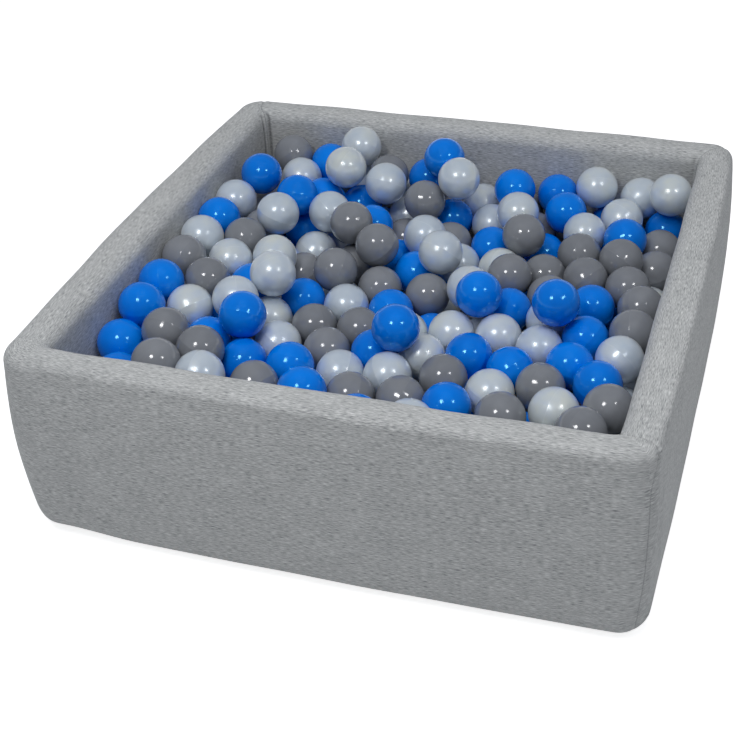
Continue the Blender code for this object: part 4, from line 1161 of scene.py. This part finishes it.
def floor_material(colours):
    """Matt painted floor, pure pale to the camera and in reflections, plain in its bounce."""
    made, node = new_material("Matt studio paint")
    lit = node("ShaderNodeBsdfDiffuse", {"Color": colours.floor})
    glow = node("ShaderNodeEmission", {"Color": (1, 1, 1, 1), "Strength": 0.8})
    bright = node("ShaderNodeAddShader", {0: lit, 1: glow})
    plain = node("ShaderNodeBsdfDiffuse", {"Color": srgb("#EBEBEB")})
    mixed = node("ShaderNodeMixShader", {0: looked_at(node), 1: plain, 2: bright})
    node("ShaderNodeOutputMaterial", {"Surface": mixed})
    return made


def studio_world():
    """A dim, cool studio, with a white backdrop low down for whatever looks at it."""
    world = bpy.data.worlds.new("Studio")
    world.use_nodes = True
    world.node_tree.nodes.clear()
    node = partial(add_node, world.node_tree)
    direction = node("ShaderNodeTexCoord").outputs["Generated"]
    height = node("ShaderNodeSeparateXYZ", {"Vector": direction}).outputs["Z"]
    backdrop = node("ShaderNodeMapRange", {"Value": height, "From Min": 0.08, "From Max": 0.25,
                                           "To Min": 1.0, "To Max": 0.0}, interpolation_type="SMOOTHSTEP")
    shown = node("ShaderNodeMath", {0: backdrop, 1: looked_at(node)}, operation="MULTIPLY")
    dim = node("ShaderNodeBackground", {"Color": (0.92, 1.0, 1.1, 1), "Strength": 0.20})
    white = node("ShaderNodeBackground", {"Color": (1, 1, 1, 1), "Strength": 1.0})
    sky = node("ShaderNodeMixShader", {0: shown, 1: dim, 2: white})
    node("ShaderNodeOutputWorld", {"Surface": sky})
    return world


def softbox(name, direction, distance, size, level):
    """A round soft light that lights a surface facing it to the given level."""
    light = bpy.data.lights.new(name, "AREA")
    light.shape = "DISK"
    light.size = size
    light.energy = level * (math.pi * distance) ** 2
    item = bpy.data.objects.new(name, light)
    bpy.context.scene.collection.objects.link(item)
    direction = Vector(direction).normalized()
    item.location = Vector((0, 0, COVER_HIGH[2])) + direction * distance
    item.rotation_euler = direction.to_track_quat("Z", "Y").to_euler()
    return item


class PIT_OT_stage(bpy.types.Operator):
    """Set the floor, the soft lights and the camera"""

    bl_idname = "ball_pit.stage"
    bl_label = "Stage"

    def execute(self, context):
        scene = context.scene
        bm = bmesh.new()
        bmesh.ops.create_grid(bm, x_segments=2, y_segments=2, size=FLOOR_REACH)
        paint = floor_material(scene.ball_pit_colours)
        mesh_object("studio_floor", mesh_from(bm, "studio_floor"), paint)
        for light in LIGHTS:
            softbox(*light)
        # The wide one overhead isn't mirrored in the balls
        bpy.data.objects["overhead"].visible_glossy = False
        scene.world = studio_world()
        right, up, ahead = view_axes()
        eye = np.array(VIEW_PLACE_SHARES) * (BALL_HIGH[1] - BALL_LOW[1])
        camera = bpy.data.cameras.new("Camera")
        camera.sensor_width = SENSOR_MM
        camera.lens = VIEW_FOCAL_PIXELS / PICTURE_PIXELS * SENSOR_MM
        camera.shift_x = 0.5 - VIEW_CENTRE_PIXELS[0] / PICTURE_PIXELS
        camera.shift_y = VIEW_CENTRE_PIXELS[1] / PICTURE_PIXELS - 0.5
        item = bpy.data.objects.new("Camera", camera)
        scene.collection.objects.link(item)
        item.matrix_world = Matrix(np.vstack((np.column_stack((right, up, -ahead, eye)), (0, 0, 0, 1))))
        scene.camera = item
        scene.view_settings.view_transform = "Standard"
        return {"FINISHED"}


class PIT_PT_panel(bpy.types.Panel):
    """Buttons for the steps that build the pit"""

    bl_label = "Ball pit"
    bl_idname = "PIT_PT_panel"
    bl_space_type = "VIEW_3D"
    bl_region_type = "UI"
    bl_category = "Ball pit"

    def draw(self, context):
        for operator in OPERATORS:
            self.layout.operator(operator.bl_idname)


OPERATORS = (PIT_OT_stage, PIT_OT_wall_cover, PIT_OT_floor_mat, PIT_OT_zip, PIT_OT_heap, PIT_OT_loose_balls)
CLASSES = (PitSizes, PitColours, *OPERATORS, PIT_PT_panel)


def register():
    for item in CLASSES:
        bpy.utils.register_class(item)
    bpy.types.Scene.ball_pit_sizes = bpy.props.PointerProperty(type=PitSizes)
    bpy.types.Scene.ball_pit_colours = bpy.props.PointerProperty(type=PitColours)


def unregister():
    del bpy.types.Scene.ball_pit_colours
    del bpy.types.Scene.ball_pit_sizes
    for item in reversed(CLASSES):
        bpy.utils.unregister_class(item)


def main():
    register()
    bpy.ops.ball_pit.stage()
    bpy.ops.ball_pit.wall_cover()
    bpy.ops.ball_pit.floor_mat()
    bpy.ops.ball_pit.zip()
    bpy.ops.ball_pit.heap()
    bpy.ops.ball_pit.loose_balls()


if __name__ == "__main__":
    main()
